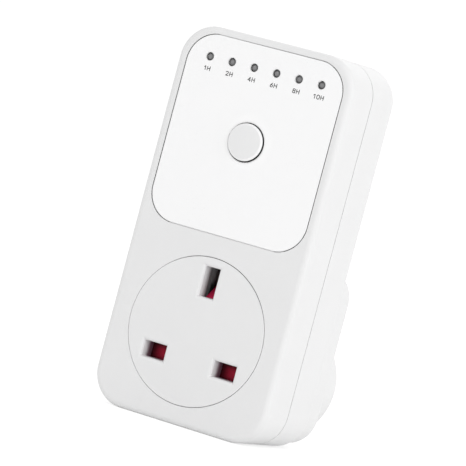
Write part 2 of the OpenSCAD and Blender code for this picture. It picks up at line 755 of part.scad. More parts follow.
// Room for the shutter's ramp over its whole travel
module ramp_way() {
    low = ramp_y - over - shutter_travel - run_gap;
    translate([0, (low + pin_pitch)/2, front_z - ramp_end_d - run_gap])
        block(ramp_w + 2*run_gap, pin_pitch - low, ramp_end_d);
}

// A folded strip with leaves on both sides: a base, a waist that grips and a wide mouth
module clip(h, w) {
    heel = mouth_gap/2 + strip_t/4;
    half = [[heel, strip_t/2 + 2*graze], [heel, 0.35*h], [(pinch_gap + strip_t)/2, 0.68*h],
        [(mouth_gap + strip_t)/2, h - strip_t/2]];
    mirrored = [for (i = [len(half) - 1:-1:0]) [-half[i].x, half[i].y]];
    rotate([90, 0, 0]) linear_extrude(w, center = true) strip(concat(mirrored, half), strip_t);
}

// A bent strip of even thickness, seen from its edge
module strip(path, t) {
    for (p = path) translate(p) circle(d = t + 4*graze);
    for (i = [0:len(path) - 2]) let (d = path[i + 1] - path[i])
        translate(path[i]) rotate(atan2(d.y, d.x)) translate([0, -t/2]) square([norm(d), t]);
}

// The riser of a strap, drawn beside the middle of a contact
module riser(low, high, w) {
    translate([riser_x + strap_t/2, 0, low]) block(strap_t, w, high - low);
}

module line_contact() {
    color("goldenrod") stand_up() at_each([line_spot], 0) rotate(90) {
        translate([0, 0, contact_z]) clip(contact_h, contact_w);
        riser(contact_z - tail_l, contact_z + strip_t/2, strap_w/2);
    }
}

module neutral_contact() {
    color("goldenrod") stand_up() at_each([neutral_spot], contact_z) rotate(90)
        clip(contact_h, contact_w);
}

module earth_contact() {
    color("goldenrod") stand_up() at_each([earth_spot], earth_contact_z)
        clip(earth_contact_h, earth_contact_w);
}

// A strap riveted to a pin's root, with a riser up to height `top`
module pin_strap(top) {
    foot = rivet_head_r + 0.5;
    difference() {
        union() {
            translate([-foot, -strap_w/2, pin_root_z]) cube([foot + riser_x + strap_t, strap_w, strap_t]);
            riser(pin_root_z, top, strap_w);
        }
        translate([0, 0, pin_root_z - over]) cylinder(r = rivet_r + eps, h = strap_t + 2*over);
    }
}

module line_terminal() {
    color("gold") stand_up() at_each([line_spot], 0) rotate(90) pin_strap(contact_z - tail_l - tail_gap);
}

module neutral_strap() {
    color("gold") stand_up() at_each([neutral_spot], 0) rotate(90) pin_strap(contact_z);
}

module earth_strap() {
    color("gold") stand_up() at_each([earth_spot], 0) pin_strap(earth_contact_z);
}

// ---- Pins ----

// A flat pin with its tip at z = -l and its riveted root above the plug face
module flat_pin(w, t, l) {
    intersection() {
        rotate([90, 0, 0]) linear_extrude(t, center = true) pin_side(w, l);
        rotate([90, 0, 90]) linear_extrude(w, center = true) pin_side(t, l);
    }
    translate([0, 0, pin_seat_h])
        block(w + 2*pin_flange_lip, t + 2*pin_flange_lip, pin_flange_t);
    translate([0, 0, pin_seat_h]) cylinder(r = rivet_r, h = pin_flange_t + strap_t + eps);
    translate([0, 0, pin_root_z + strap_t]) soft_disc(rivet_head_r, rivet_head_h, rivet_head_h/2);
}

module pin_side(w, l) {
    shoulder = pin_bevel_l - l;
    tip = w/2 - pin_bevel_t;
    polygon([[-w/2, pin_seat_h + eps], [-w/2, shoulder], [-tip, -l], [tip, -l], [w/2, shoulder],
        [w/2, pin_seat_h + eps]]);
}

// The insulating sleeve of a line or neutral pin, flush with the pin's own faces
module sleeve_ring() {
    translate([0, 0, -sleeve_l]) difference() {
        block(pin_w, pin_t, sleeve_l + wall);
        translate([0, 0, -over])
            block(pin_w - 2*sleeve_t, pin_t - 2*sleeve_t, sleeve_l + wall + 2*over);
    }
}

module sleeved_pin() {
    difference() {
        flat_pin(pin_w, pin_t, pin_l);
        sleeve_ring();
    }
}

module line_pin() {
    color("gold") stand_up() at_each([line_spot], 0) sleeved_pin();
}

module neutral_pin() {
    color("gold") stand_up() at_each([neutral_spot], 0) sleeved_pin();
}

module earth_pin() {
    color("gold") stand_up() at_each([earth_spot], 0) flat_pin(pin_t, earth_pin_w, earth_pin_l);
}

module line_pin_sleeve() {
    color("dimgray") stand_up() at_each([line_spot], 0) sleeve_ring();
}

module neutral_pin_sleeve() {
    color("dimgray") stand_up() at_each([neutral_spot], 0) sleeve_ring();
}

// ---- Button and indicators ----

module push_button() {
    back = floor_z - flange_gap;
    rim_z = front_z + button_proud - button_dome;
    dome_r = button_d/2 - button_rim_r;
    ball_r = (dome_r*dome_r + button_dome*button_dome)/(2*button_dome);
    stem_z = board_z + switch_h + plunger_h;
    color("white") stand_up() translate([0, button_y, 0]) {
        translate([0, 0, back]) soft_disc(button_d/2, rim_z - back, button_rim_r);
        translate([0, 0, rim_z - eps]) rotate_extrude() intersection() {
            translate([0, button_dome + eps - ball_r]) circle(ball_r, $fn = 360);
            square([dome_r, button_dome + 2*eps]);
        }
        translate([0, 0, back - flange_t]) cylinder(r = button_d/2 + flange_lip, h = flange_t + eps);
        translate([0, 0, stem_z]) cylinder(d = plunger_d, h = back - flange_t - stem_z + eps);
    }
}

module switch_plunger() {
    color("black") stand_up() translate([0, button_y, board_z + switch_h - plunger_root])
        cylinder(d = plunger_d, h = plunger_root + plunger_h);
}

module switch_body() {
    bore = plunger_root + button_travel + fit_gap;
    color("dimgray") stand_up() translate([0, button_y, board_z]) difference() {
        union() {
            soft_prism(rect_corners(0, 0, switch_w, switch_w, 0.5), switch_h, 0.2);
            for (s = [-1, 1], k = [-1, 1]) translate([s*switch_w/2, k*switch_w*0.37, 0]) block(1.6, 0.7, 0.5);
        }
        translate([0, 0, switch_h - bore]) cylinder(r = plunger_d/2 + plunger_fit, h = bore + over);
    }
}

// One indicator: a domed lens on two leads
module led(i) {
    lens_z = front_z - led_sink - led_l;
    straight = led_l - led_d/2;
    color("dimgray") stand_up() translate([led_x(i), led_y, 0]) {
        translate([0, 0, lens_z]) {
            rotate_extrude() {
                square([led_d/2, straight]);
                translate([0, straight]) intersection() {
                    circle(d = led_d);
                    square(led_d/2);
                }
            }
            cylinder(d = led_d + 0.2, h = 0.8);
        }
        for (s = [-1, 1]) translate([s*led_d*0.3, 0, board_z]) block(0.45, 0.45, lens_z - board_z + eps);
    }
}

// ---- Control board ----

// Places a component on the back of the board, drawn with the board at z = 0
module on_back(x, y) {
    translate([x, y, board_back_z]) mirror([0, 0, 1]) children();
}

module control_board() {
    color("seagreen") stand_up() difference() {
        translate([0, 0, board_back_z]) soft_prism(rect_corners(0, (board_top + board_bottom)/2,
            board_w, board_top - board_bottom, 1.5), board_t);
        at_each(screw_spots, board_back_z - over) cylinder(r = boss_r + 0.5, h = board_t + 2*over);
        at_each(board_screw_spots, board_back_z - over)
            cylinder(d = board_screw_d + 2*fit_gap, h = board_t + 2*over);
    }
}

module microcontroller() {
    color("black") stand_up() on_back(mcu_x, board_bottom + high_row + chip_w/2) {
        translate([0, 0, chip_t/5]) block(chip_l, chip_w, chip_t);
        for (k = [-3:3], s = [-1, 1]) {
            translate([k*leg_pitch, s*(chip_w/2 + 0.3), chip_t/2]) block(0.4, 0.6 + eps, 0.25);
            translate([k*leg_pitch, s*(chip_w/2 + 0.55), 0]) block(0.4, 0.9, 0.25);
            translate([k*leg_pitch, s*(chip_w/2 + 0.5), 0]) block(0.4, 0.25, chip_t/2 + 0.25);
        }
    }
}

module smd_resistors() {
    color("dimgray") stand_up() for (i = [0:len(led_hours) - 1])
        on_back(led_x(i), led_y - led_pitch/2) block(chip_w/5, 2*chip_w/5, chip_t/3);
}

module relay_base() {
    color("dimgray") stand_up() on_back(relay_x, relay_y) block(relay_w - 1, relay_h - 1, relay_base_t);
}

module relay_case() {
    color("royalblue") stand_up() on_back(relay_x, relay_y) translate([0, 0, relay_base_t])
        soft_prism(rect_corners(0, 0, relay_w, relay_h, 0.8), relay_d - relay_base_t, 0.6);
}

// Two straight leads down to the board
module leads(spread, h) {
    for (s = [-1, 1]) translate([s*spread/2, 0, 0]) cylinder(r = lead_r, h = h);
}

module film_capacitor() {
    h = board_back_z - back_z - wall - film_floor_gap - stand_off;
    color("gold") stand_up() on_back(film_w/2 + lead_r, board_bottom + low_row) {
        leads(film_w*0.86, 2*stand_off);
        translate([0, 0, stand_off]) soft_prism(rect_corners(0, 0, film_w, film_t, 0.9), h, 0.7);
    }
}

module electrolytic_capacitor() {
    color("black") stand_up() on_back(board_w/2 - can_d/2 - lead_r - 1.5, board_bottom + mid_row) {
        leads(can_d*0.44, 2*stand_off);
        translate([0, 0, stand_off]) difference() {
            soft_disc(can_d/2, can_h, 0.5, 0.5);
            translate([0, 0, can_h*0.18]) rotate_extrude() translate([can_d/2 + 0.3, 0]) circle(0.7);
        }
    }
}

module varistor() {
    t = varistor_d*0.43;
    color("steelblue") stand_up() on_back(0, board_bottom + mid_row) rotate(90) {
        leads(varistor_d*0.67, varistor_d/2);
        translate([0, -t/2, varistor_d/2 + 2*stand_off]) rotate([-90, 0, 0])
            soft_disc(varistor_d/2, t, t*0.28, t*0.28);
    }
}

// A part with its leads along y, bent down to the board
module axial_part(d, l) {
    reach = l/2 + 4*lead_r;
    height = d/2 + stand_off/2;
    translate([0, l/2, height]) rotate([90, 0, 0]) soft_disc(d/2, l, d/8, d/8);
    translate([0, reach, height]) rotate([90, 0, 0]) cylinder(r = lead_r, h = 2*reach);
    for (s = [-1, 1]) translate([0, s*reach, 0]) cylinder(r = lead_r, h = height);
}

module fusible_resistor() {
    color("sienna") stand_up() on_back(board_w/6, board_bottom + mid_row)
        axial_part(resistor_d, resistor_l);
}

module rectifier_diodes() {
    color("black") stand_up() for (i = [0:3])
        on_back(diode_pitch*(i + 0.6), board_bottom + high_row) axial_part(diode_d, diode_l);
}

// ---- Internal wires ----

module line_wire() {
    color("saddlebrown") stand_up() supply_wire();
}

module neutral_wire() {
    color("royalblue") stand_up() mirror([1, 0, 0]) supply_wire();
}

// An insulated wire along a curve through the points, ending square on the board
module wire(points, pad) {
    end = [pad.x, pad.y, board_back_z];
    tube(concat(spline(concat(points, [end - [0, 0, 1.6]]), 4), [end]),
        wire_d/2, 10, [1, -1, -0.3]);
}

// A point of a wire that starts at height z, with its share of the climb to the board's back
function climb(x, y, z, share) = [x, y, z + share*(board_back_z - z)];

// From the strap on a pin's root, round the carrier and up to the board
module supply_wire() {
    x = line_spot.x;
    z = pin_root_z + 5;
    side_x = body_w/2 - wall - plateau_inset - wire_d/2 - 0.8;
    wire([[x - 1.5, wire_y, z], [x + 3.5, wire_y, z + 0.1],
        climb(side_x - 1.5, wire_y + 3, z, 0.07), climb(side_x, wire_y + 9.5, z, 0.225),
        climb(side_x, wire_y + 19, z, 0.495), climb(side_x - 1.6, board_bottom - 2.5, z, 0.775)],
        [board_w/2 - 6, board_bottom + 3]);
}

// From the line contact up to the relay's side of the board
module switched_wire() {
    x = line_spot.x;
    z = contact_z - guide_wall - wire_d/2 - 0.7;
    side_x = body_w/2 - wall - plateau_inset - wire_d/2 - 2.3;
    color("brown") stand_up() wire([[x - 1.2, wire_y, z], [x + 3.9, wire_y + 0.2, z],
        climb(side_x - 1.1, wire_y + 3.4, z, 0.05), climb(side_x, wire_y + 10.4, z, 0.25),
        climb(side_x - 1.1, wire_y + 19.4, z, 0.535), climb(x + 4.4, board_bottom - 4, z, 0.79)],
        [board_w/4, board_bottom + 2.6]);
}

// ---- Screws ----

// A pan-head screw, with its head's bearing face at z = 0 and its shank upwards
module screw(d, l, head_d, head_h) {
    tip = d/2;
    difference() {
        translate([0, 0, -head_h]) soft_disc(head_d/2, head_h, 0, head_h*0.4);
        for (a = [0, 90]) rotate(a) translate([0, 0, -head_h - over])
            block(head_d*0.6, head_d*0.12, head_h*0.6 + over);
    }
    cylinder(d = d, h = l - tip);
    translate([0, 0, l - tip]) cylinder(d1 = d, d2 = d*0.3, h = tip);
}

module housing_screws() {
    color("silver") stand_up() at_each(screw_spots, screw_seat_z)
        screw(screw_d, screw_l, screw_head_d, screw_head_h);
}

module board_screws() {
    color("silver") stand_up() at_each(board_screw_spots, board_back_z)
        screw(board_screw_d, board_screw_l, board_screw_d*1.9, board_screw_d*0.7);
}

front_shell();
rear_shell();
timer_panel();
socket_disc();
push_button();
switch_plunger();
switch_body();
for (i = [0:len(led_hours) - 1])
    led(i);
control_board();
microcontroller();
smd_resistors();
relay_case();
relay_base();
film_capacitor();
electrolytic_capacitor();
varistor();
fusible_resistor();
rectifier_diodes();
contact_carrier();
line_contact();
neutral_contact();
earth_contact();
line_pin();
neutral_pin();
earth_pin();
line_pin_sleeve();
neutral_pin_sleeve();
line_terminal();
neutral_strap();
earth_strap();
line_wire();
neutral_wire();
switched_wire();
safety_shutter();
shutter_spring();
housing_screws();
board_screws();
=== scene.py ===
"""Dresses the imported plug-through countdown timer and sets it in a plain studio."""
import logging
import math
from dataclasses import dataclass
from enum import Enum
from typing import Any, ClassVar, Iterable, Sequence

import bmesh
import bpy
from mathutils import Matrix, Vector


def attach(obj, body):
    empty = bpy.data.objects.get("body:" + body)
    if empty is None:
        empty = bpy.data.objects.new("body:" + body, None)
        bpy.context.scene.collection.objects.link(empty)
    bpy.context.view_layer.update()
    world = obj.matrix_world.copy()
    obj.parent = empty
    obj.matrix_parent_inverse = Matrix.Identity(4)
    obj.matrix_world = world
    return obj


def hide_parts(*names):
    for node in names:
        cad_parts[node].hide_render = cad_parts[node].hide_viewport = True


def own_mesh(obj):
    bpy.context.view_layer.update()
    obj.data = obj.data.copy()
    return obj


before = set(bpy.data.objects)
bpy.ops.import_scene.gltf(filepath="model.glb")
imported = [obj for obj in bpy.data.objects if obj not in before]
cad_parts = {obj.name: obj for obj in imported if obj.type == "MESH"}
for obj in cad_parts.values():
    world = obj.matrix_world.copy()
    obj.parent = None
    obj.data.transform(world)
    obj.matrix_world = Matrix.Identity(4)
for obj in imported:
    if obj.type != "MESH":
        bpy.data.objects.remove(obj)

LOG = logging.getLogger("countdown_timer")
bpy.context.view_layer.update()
MM = 0.001
# Pieces are drawn lying on the plug face in millimetres (x right, y up the body, z out of the
# wall), and this matrix stands them up in the model's own frame, in metres.
STAND = Matrix.Rotation(math.radians(90), 4, "X") @ Matrix.Scale(MM, 4)

Colour = tuple[float, float, float]
Point = tuple[float, float, float]
Pair = tuple[float, float]
Profile = tuple[Pair, ...]

# Measures that several classes go by, in millimetres.
FACE = 43.8  # Height of the front faces above the plug face.
PIN_PITCH = 22.23  # From way to way of the socket, and from pin to pin.
BUTTON: Pair = (0.0, 61.88)  # The button's middle.
DISC: Pair = (0.0, 8.336)  # The socket face's middle.
ROW = 82.18  # Height of the row of indicators up the body.
ROW_PITCH = 7.02  # From indicator to indicator.
LEAD_X = 0.69  # From an indicator's middle to each of its leads.
LEAD_FOOT = 33.2  # Height at which those leads end.
HOURS = (1, 2, 4, 6, 8, 10)  # The hour that each indicator stands for.

MERGE = 0.0004  # Points of a mesh that lie closer than this, in millimetres, become one.
FLAT = 5  # An edge stays sharp where one face is this many times the other's area.


# ---- Shader building ----


class Signal:
    """A number that varies over a surface, which takes Python's own arithmetic."""

    def __init__(self, graph: "Graph", socket: bpy.types.NodeSocket) -> None:
        """Wraps a socket.

        Args:
            graph: The node tree that new nodes are added to.
            socket: The output socket that carries the number.
        """
        self.graph = graph
        self.socket = socket

    def _maths(self, operation: str, *values: "Signal | float") -> "Signal":
        """Adds one Math node.

        Args:
            operation: The node's operation.
            values: What goes into it, in order.

        Returns:
            The node's result.
        """
        node = self.graph.node("ShaderNodeMath", {"operation": operation}, dict(enumerate(values)))
        return Signal(self.graph, node.outputs[0])

    def __add__(self, other: "Signal | float") -> "Signal":
        """Adds."""
        return self._maths("ADD", self, other)

    def __radd__(self, other: float) -> "Signal":
        """Adds to a plain number."""
        return self._maths("ADD", other, self)

    def __sub__(self, other: "Signal | float") -> "Signal":
        """Subtracts."""
        return self._maths("SUBTRACT", self, other)

    def __rsub__(self, other: float) -> "Signal":
        """Subtracts from a plain number."""
        return self._maths("SUBTRACT", other, self)

    def __mul__(self, other: "Signal | float") -> "Signal":
        """Multiplies."""
        return self._maths("MULTIPLY", self, other)

    def __rmul__(self, other: float) -> "Signal":
        """Multiplies a plain number."""
        return self._maths("MULTIPLY", other, self)

    def __pow__(self, other: "Signal | float") -> "Signal":
        """Raises to a power."""
        return self._maths("POWER", self, other)

    def __gt__(self, other: "Signal | float") -> "Signal":
        """Gives 1 where this is greater and 0 elsewhere."""
        return self._maths("GREATER_THAN", self, other)

    def __lt__(self, other: "Signal | float") -> "Signal":
        """Gives 1 where this is smaller and 0 elsewhere."""
        return self._maths("LESS_THAN", self, other)

    def size(self) -> "Signal":
        """Drops the sign."""
        return self._maths("ABSOLUTE", self)

    def span(self, low: float, high: float, first: float = 0.0, last: float = 1.0) -> "Signal":
        """Maps a range of this number smoothly onto another range.

        Args:
            low: The value that gives `first`.
            high: The value that gives `last`.
            first: The result at and below `low`.
            last: The result at and above `high`.

        Returns:
            The mapped number.
        """
        node = self.graph.node(
            "ShaderNodeMapRange",
            {"interpolation_type": "SMOOTHSTEP"},
            {"Value": self, "From Min": low, "From Max": high, "To Min": first, "To Max": last},
        )
        return Signal(self.graph, node.outputs[0])

    def span_mm(self, low: float, high: float, first: float = 0.0, last: float = 1.0) -> "Signal":
        """Maps a range given in millimetres smoothly onto another range."""
        return self.span(low * MM, high * MM, first, last)

    def within(self, middle: float, half: float) -> "Signal":
        """Gives 1 up to half a width away from a middle, both in millimetres, and 0 elsewhere."""
        return (self - middle * MM).size() < half * MM


class Graph:
    """A node tree in the making."""

    def __init__(self, tree: bpy.types.NodeTree) -> None:
        """Starts with an empty node tree.

        Args:
            tree: The tree that nodes are added to.
        """
        self.tree = tree
        self.tree.nodes.clear()

    def join(self, source: bpy.types.NodeSocket, target: bpy.types.NodeSocket) -> None:
        """Links two sockets."""
        self.tree.links.new(source, target)

    def node(
        self,
        kind: str,
        settings: dict[str, Any] | None = None,
        values: dict[str | int, Any] | None = None,
    ) -> bpy.types.Node:
        """Adds any node.

        Args:
            kind: The node's type.
            settings: Its own settings, which are set first.
            values: A value, signal or socket for each input, by name or number.

        Returns:
            The new node.
        """
        node = self.tree.nodes.new(kind)
        for key, setting in (settings or {}).items():
            setattr(node, key, setting)
        for key, value in (values or {}).items():
            self.feed(node.inputs[key], value)
        return node

    def feed(self, target: bpy.types.NodeSocket, value: Any) -> None:
        """Gives an input what it needs.

        Args:
            target: The input.
            value: A signal, a socket or a plain value.
        """
        if isinstance(value, Signal):
            self.join(value.socket, target)
        elif isinstance(value, bpy.types.NodeSocket):
            self.join(value, target)
        else:
            target.default_value = value

    def seen(self) -> Signal:
        """Tells camera, glossy and transmitted rays from all others.

        Returns:
            1 or more for those rays and 0 for the others.
        """
        rays = self.node("ShaderNodeLightPath")
        kinds = ("Is Camera Ray", "Is Glossy Ray", "Is Transmission Ray")
        camera, glossy, through = (Signal(self, rays.outputs[kind]) for kind in kinds)
        return camera + glossy + through


class Recipe(Graph):
    """A material in the making, with its shader and the pattern nodes that feed it."""

    def __init__(self, name: str) -> None:
        """Starts an empty material.

        Args:
            name: The material's name.
        """
        self.material = bpy.data.materials.new(name)
        self.material.use_nodes = True
        super().__init__(self.material.node_tree)
        self.output = self.node("ShaderNodeOutputMaterial")
        self.shader = self.node("ShaderNodeBsdfPrincipled")
        self.join(self.shader.outputs[0], self.output.inputs["Surface"])
        self.place = self.node("ShaderNodeTexCoord").outputs["Object"]

    def axes(self) -> tuple[Signal, Signal, Signal]:
        """Gives the place on the object as three numbers, in metres."""
        node = self.node("ShaderNodeSeparateXYZ", None, {0: self.place})
        return tuple(Signal(self, socket) for socket in node.outputs)

    def noise(self, scale: float, detail: float = 2.0, stretch: Point = (1, 1, 1)) -> Signal:
        """Adds a noise pattern that averages one half.

        Args:
            scale: Features for each metre.
            detail: Octaves of finer noise.
            stretch: How much finer the pattern is along each axis.

        Returns:
            The pattern's value.
        """
        mapping = self.node("ShaderNodeMapping", None, {"Vector": self.place, "Scale": stretch})
        node = self.node(
            "ShaderNodeTexNoise",
            None,
            {"Vector": mapping.outputs[0], "Scale": scale, "Detail": detail, "Roughness": 0.55},
        )
        return Signal(self, node.outputs[0])

    def blend(
        self, mask: Signal, low: Colour | bpy.types.NodeSocket, high: Colour
    ) -> bpy.types.NodeSocket:
        """Mixes two colours.

        Args:
            mask: 0 for the first colour and 1 for the second.
            low: The first colour.
            high: The second colour.

        Returns:
            The mixed colour.
        """
        node = self.node("ShaderNodeMix", {"data_type": "RGBA"})
        self.feed(node.inputs["Factor"], mask)
        self.feed(node.inputs[6], low if isinstance(low, bpy.types.NodeSocket) else (*low, 1.0))
        self.feed(node.inputs[7], (*high, 1.0))
        return node.outputs[2]

    def mottled(self, pattern: Signal, colour: Colour, amount: float) -> bpy.types.NodeSocket:
        """Makes a colour darker and lighter by an amount, as a pattern says."""
        return self.blend(pattern, shade(colour, 1 - amount), shade(colour, 1 + amount))

    def bump(self, height: Signal, depth: float, strength: float = 1.0) -> None:
        """Raises the surface by a pattern.

        Args:
            height: The pattern.
            depth: How far it reaches from 0 to 1, in metres.
            strength: The share of the bump that shows.
        """
        node = self.node(
            "ShaderNodeBump", None, {"Height": height, "Distance": depth, "Strength": strength}
        )
        self.join(node.outputs[0], self.shader.inputs["Normal"])

    def set(self, **values: Any) -> None:
        """Sets the shader's own sockets.

        Args:
            values: A value, signal or socket by the input's name, with underscores for spaces.
        """
        for key, value in values.items():
            if isinstance(value, tuple) and len(value) == 3:
                value = (*value, 1.0)
            self.feed(self.shader.inputs[key.replace("_", " ")], value)


def shade(colour: Colour, factor: float) -> Colour:
    """Gives a colour made darker or lighter by a factor."""
    return tuple(min(1.0, channel * factor) for channel in colour)


def away_from(x: Signal, z: Signal, middle: Pair) -> Signal:
    """Gives the distance from a place on the front, which is given in millimetres."""
    return ((x - middle[0] * MM) ** 2.0 + (z - middle[1] * MM) ** 2.0) ** 0.5


# ---- Finishes, in millimetres where no other unit is given ----


@dataclass(frozen=True)
class MouldedPlastic:
    """Injection-moulded plastic with a fine grain from the mould.

    Attributes:
        name: The material's name.
        colour: Its colour.
        roughness: Its mean roughness.
        grain: Grains of texture for each metre.
        depth: Height of the grain, in metres.
        mottle: How much the colour drifts over the piece.
        coat: Share of a clear, glossy surface over it.
    """

    name: str
    colour: Colour
    roughness: float = 0.42
    grain: float = 3200.0
    depth: float = 0.00002
    mottle: float = 0.02
    coat: float = 0.0

    def build(self) -> bpy.types.Material:
        """Makes the material.

        Returns:
            The finished material.
        """
        recipe = Recipe(self.name)
        drift = recipe.noise(55.0, 3.0)
        grain = recipe.noise(self.grain, 2.0)
        recipe.set(
            Base_Color=recipe.mottled(drift, self.colour, self.mottle),
            Roughness=self.roughness + 0.1 * (grain - 0.5) + 0.06 * (drift - 0.5),
            IOR=1.5,
            Coat_Weight=self.coat,
            Coat_Roughness=0.12,
        )
        recipe.bump(grain, self.depth)
        return recipe.material


@dataclass(frozen=True)
class RolledMetal:
    """Metal with fine lines from rolling, drawing or cutting.

    Attributes:
        name: The material's name.
        colour: Its colour.
        roughness: Its mean roughness.
        lines: How much finer the lines are along each axis.
        tarnish: How far dull patches darken it.
    """

    name: str
    colour: Colour
    roughness: float = 0.28
    lines: Point = (1.0, 0.06, 1.0)
    tarnish: float = 0.14

    def build(self) -> bpy.types.Material:
        """Makes the material.

        Returns:
            The finished material.
        """
        recipe = Recipe(self.name)
        streaks = recipe.noise(5200.0, 2.0, self.lines)
        patches = recipe.noise(260.0, 4.0)
        recipe.set(
            Base_Color=recipe.blend(
                patches.span(0.35, 0.75), self.colour, shade(self.colour, 1 - self.tarnish)
            ),
            Metallic=1.0,
            Roughness=self.roughness + 0.16 * (streaks - 0.5) + 0.12 * (patches - 0.5),
        )
        recipe.bump(streaks, 0.000012)
        return recipe.material


@dataclass(frozen=True)
class SmokedLens:
    """Smoked plastic of an indicator, paler towards its middle.

    Attributes:
        name: The material's name.
        centre: The lens's middle on the panel.
        radius: The lens's radius.
        rim: The colour near the lens's edge.
        middle: The colour at the lens's middle.
        fade: Where the middle's colour starts to fade and ends, in shares of the radius.
    """

    name: str
    centre: Pair
    radius: float
    rim: Colour = (0.12, 0.12, 0.122)
    middle: Colour = (0.215, 0.215, 0.218)
    fade: Pair = (0.2, 0.95)

    def build(self) -> bpy.types.Material:
        """Makes the material.

        Returns:
            The finished material.
        """
        recipe = Recipe(self.name)
        x, _, z = recipe.axes()
        haze = recipe.noise(1500.0, 2.0)
        start, end = (share * self.radius for share in self.fade)
        inner = away_from(x, z, self.centre).span_mm(start, end, 1.0, 0.0)
        recipe.set(
            Base_Color=recipe.blend(inner * (0.4 + 1.2 * haze), self.rim, self.middle),
            Roughness=0.3 + 0.12 * haze,
            Coat_Weight=0.3,
            Coat_Roughness=0.1,
        )
        return recipe.material


@dataclass(frozen=True)
class SocketPlastic:
    """The socket face's plastic, with painted light and shade down the ways for the pins and
    painted shade in the groove round it.

    Attributes:
        name: The material's name.
        colour: The face's colour.
        lit: The painted light's colour on the ways' walls next to the face.
        edge: The painted shade's colour on the face's edge, where the groove round it is darkest.
        deep: The painted shade's colour at the foot of the earth way.
        painted_tinted_shade: The painted shade's colour at the foot of the line and neutral ways,
            tinted red as if by light off the shutter.
        face: Height of the socket face above the plug face.
        fade: Depths at which the earth way's painted shade starts and is complete.
        pin_fade: The same of the line and neutral ways.
        pitch: Distance from the line way to the neutral way.
        way: Half the size of the line and neutral ways with their walls.
        earth_way: The same of the earth way.
        centre: The middle of the face.
        edge_r: Radius past which the face's edge starts.
        edge_turn: Where round the face the painted shade on its edge is darkest, in degrees up from
            +X.
        edge_fade: Distances towards there at which that painted shade starts and is full, in radii.
    """

    name: str = "socket_moulding"
    colour: Colour = (0.80, 0.80, 0.802)
    lit: Colour = (0.93, 0.93, 0.935)
    edge: Colour = (0.21, 0.21, 0.21)
    deep: Colour = (0.012, 0.010, 0.010)
    painted_tinted_shade: Colour = (0.27, 0.155, 0.205)
    face: float = FACE
    fade: Pair = (1.8, 6.1)
    pin_fade: Pair = (2.3, 4.8)
    pitch: float = PIN_PITCH
    way: Pair = (3.58, 2.33)
    earth_way: Pair = (2.33, 4.33)
    centre: Pair = DISC
    edge_r: float = 20.68
    edge_turn: float = 76.0
    edge_fade: Pair = (0.5, 0.97)

    def build(self) -> bpy.types.Material:
        """Makes the material.

        Returns:
            The finished material.
        """
        recipe = Recipe(self.name)
        x, y, z = recipe.axes()
        pins = x.size().within(self.pitch / 2, self.way[0]) * z.within(0.0, self.way[1])
        earth = x.within(0.0, self.earth_way[0]) * z.within(self.pitch, self.earth_way[1])
        mouths = pins + earth
        # Painted shade: the ways' walls darken with depth to near black, as if in shadow.
        earth, pins = (
            way * (0.0 - y).span_mm(self.face - fade[1], self.face - fade[0], 1.0, 0.0)
            for way, fade in ((earth, self.fade), (pins, self.pin_fade))
        )
        drift = recipe.noise(55.0, 3.0)
        grain = recipe.noise(3400.0, 2.0)
        # Painted light: the ways' walls next to the face are painted paler than the face.
        face = recipe.blend(mouths, recipe.mottled(drift, self.colour, 0.02), self.lit)
        # Painted shade on the face's edge, darkest near the top, which darkens the groove round it.
        rim = away_from(x, z, self.centre) > self.edge_r * MM
        across, up = x - self.centre[0] * MM, z - self.centre[1] * MM
        turn = math.radians(self.edge_turn)
        toward = across * math.cos(turn) + up * math.sin(turn)
        dark = rim * toward.span_mm(*(share * self.edge_r for share in self.edge_fade))
        face = recipe.blend(dark, face, self.edge)
        # The line and neutral ways end in painted shade, tinted red as if by light off the shutter.
        recipe.set(
            Base_Color=recipe.blend(pins, recipe.blend(earth, face, self.deep), self.painted_tinted_shade),
            Roughness=0.4 + 0.1 * (grain - 0.5),
            IOR=1.5,
        )
        recipe.bump(grain, 0.000014)
        return recipe.material


@dataclass(frozen=True)
class ButtonPlastic:
    """The button's plastic: a satin white cap with a painted highlight on its rim, and painted
    shade on what stays inside the panel.

    Attributes:
        name: The material's name.
        cap: The colour of what stands out of the panel.
        rim: The painted highlight's colour on the cap's rim.
        painted_skirt_shade: The painted shade's colour on what stays inside the panel, below the
            face.
        skirt_shade_top: Where that painted shade ends above the plug face.
        centre: The button's centre on the panel.
        rim_r: Radius at which the rim starts.
        rim_ease: Where the rim's painted highlight starts and is full, past that radius.
        bright_side: Where across the cap that painted highlight starts and is full, in shares of
            that radius.
        blur: Half the height over which the painted shade below the face fades out.
    """

    name: str = "button_moulding"
    cap: Colour = (0.815, 0.815, 0.818)
    rim: Colour = (0.93, 0.93, 0.932)
    painted_skirt_shade: Colour = (0.008, 0.008, 0.008)
    skirt_shade_top: float = 44.23
    centre: Pair = BUTTON
    rim_r: float = 4.6
    rim_ease: Pair = (-0.1, 0.2)
    bright_side: Pair = (-0.8, 0.7)
    blur: float = 0.12

    def build(self) -> bpy.types.Material:
        """Makes the material.

        Returns:
            The finished material.
        """
        recipe = Recipe(self.name)
        x, y, z = recipe.axes()
        # Painted shade: below the panel's face the button is painted near black, as if in shadow in
        # the gap round it.
        low, high = self.skirt_shade_top - self.blur, self.skirt_shade_top + self.blur
        hidden = (0.0 - y).span_mm(low, high, 1.0, 0.0)
        # Painted highlight: the rim is painted paler, more towards the right than the left.
        rim = away_from(x, z, self.centre).span_mm(*(self.rim_r + ease for ease in self.rim_ease))
        left, right = (share * self.rim_r for share in self.bright_side)
        painted_highlight = rim * x.span_mm(left, right, 0.15, 1.0)
        drift = recipe.noise(80.0, 3.0)
        grain = recipe.noise(2600.0, 2.0)
        cap = recipe.blend(painted_highlight, recipe.mottled(drift, self.cap, 0.01), self.rim)
        recipe.set(
            Base_Color=recipe.blend(hidden, cap, self.painted_skirt_shade),
            Roughness=0.32 + 0.08 * (grain - 0.5),
            Coat_Weight=0.15,
            Coat_Roughness=0.15,
        )
        recipe.bump(grain, 0.00001)
        return recipe.material


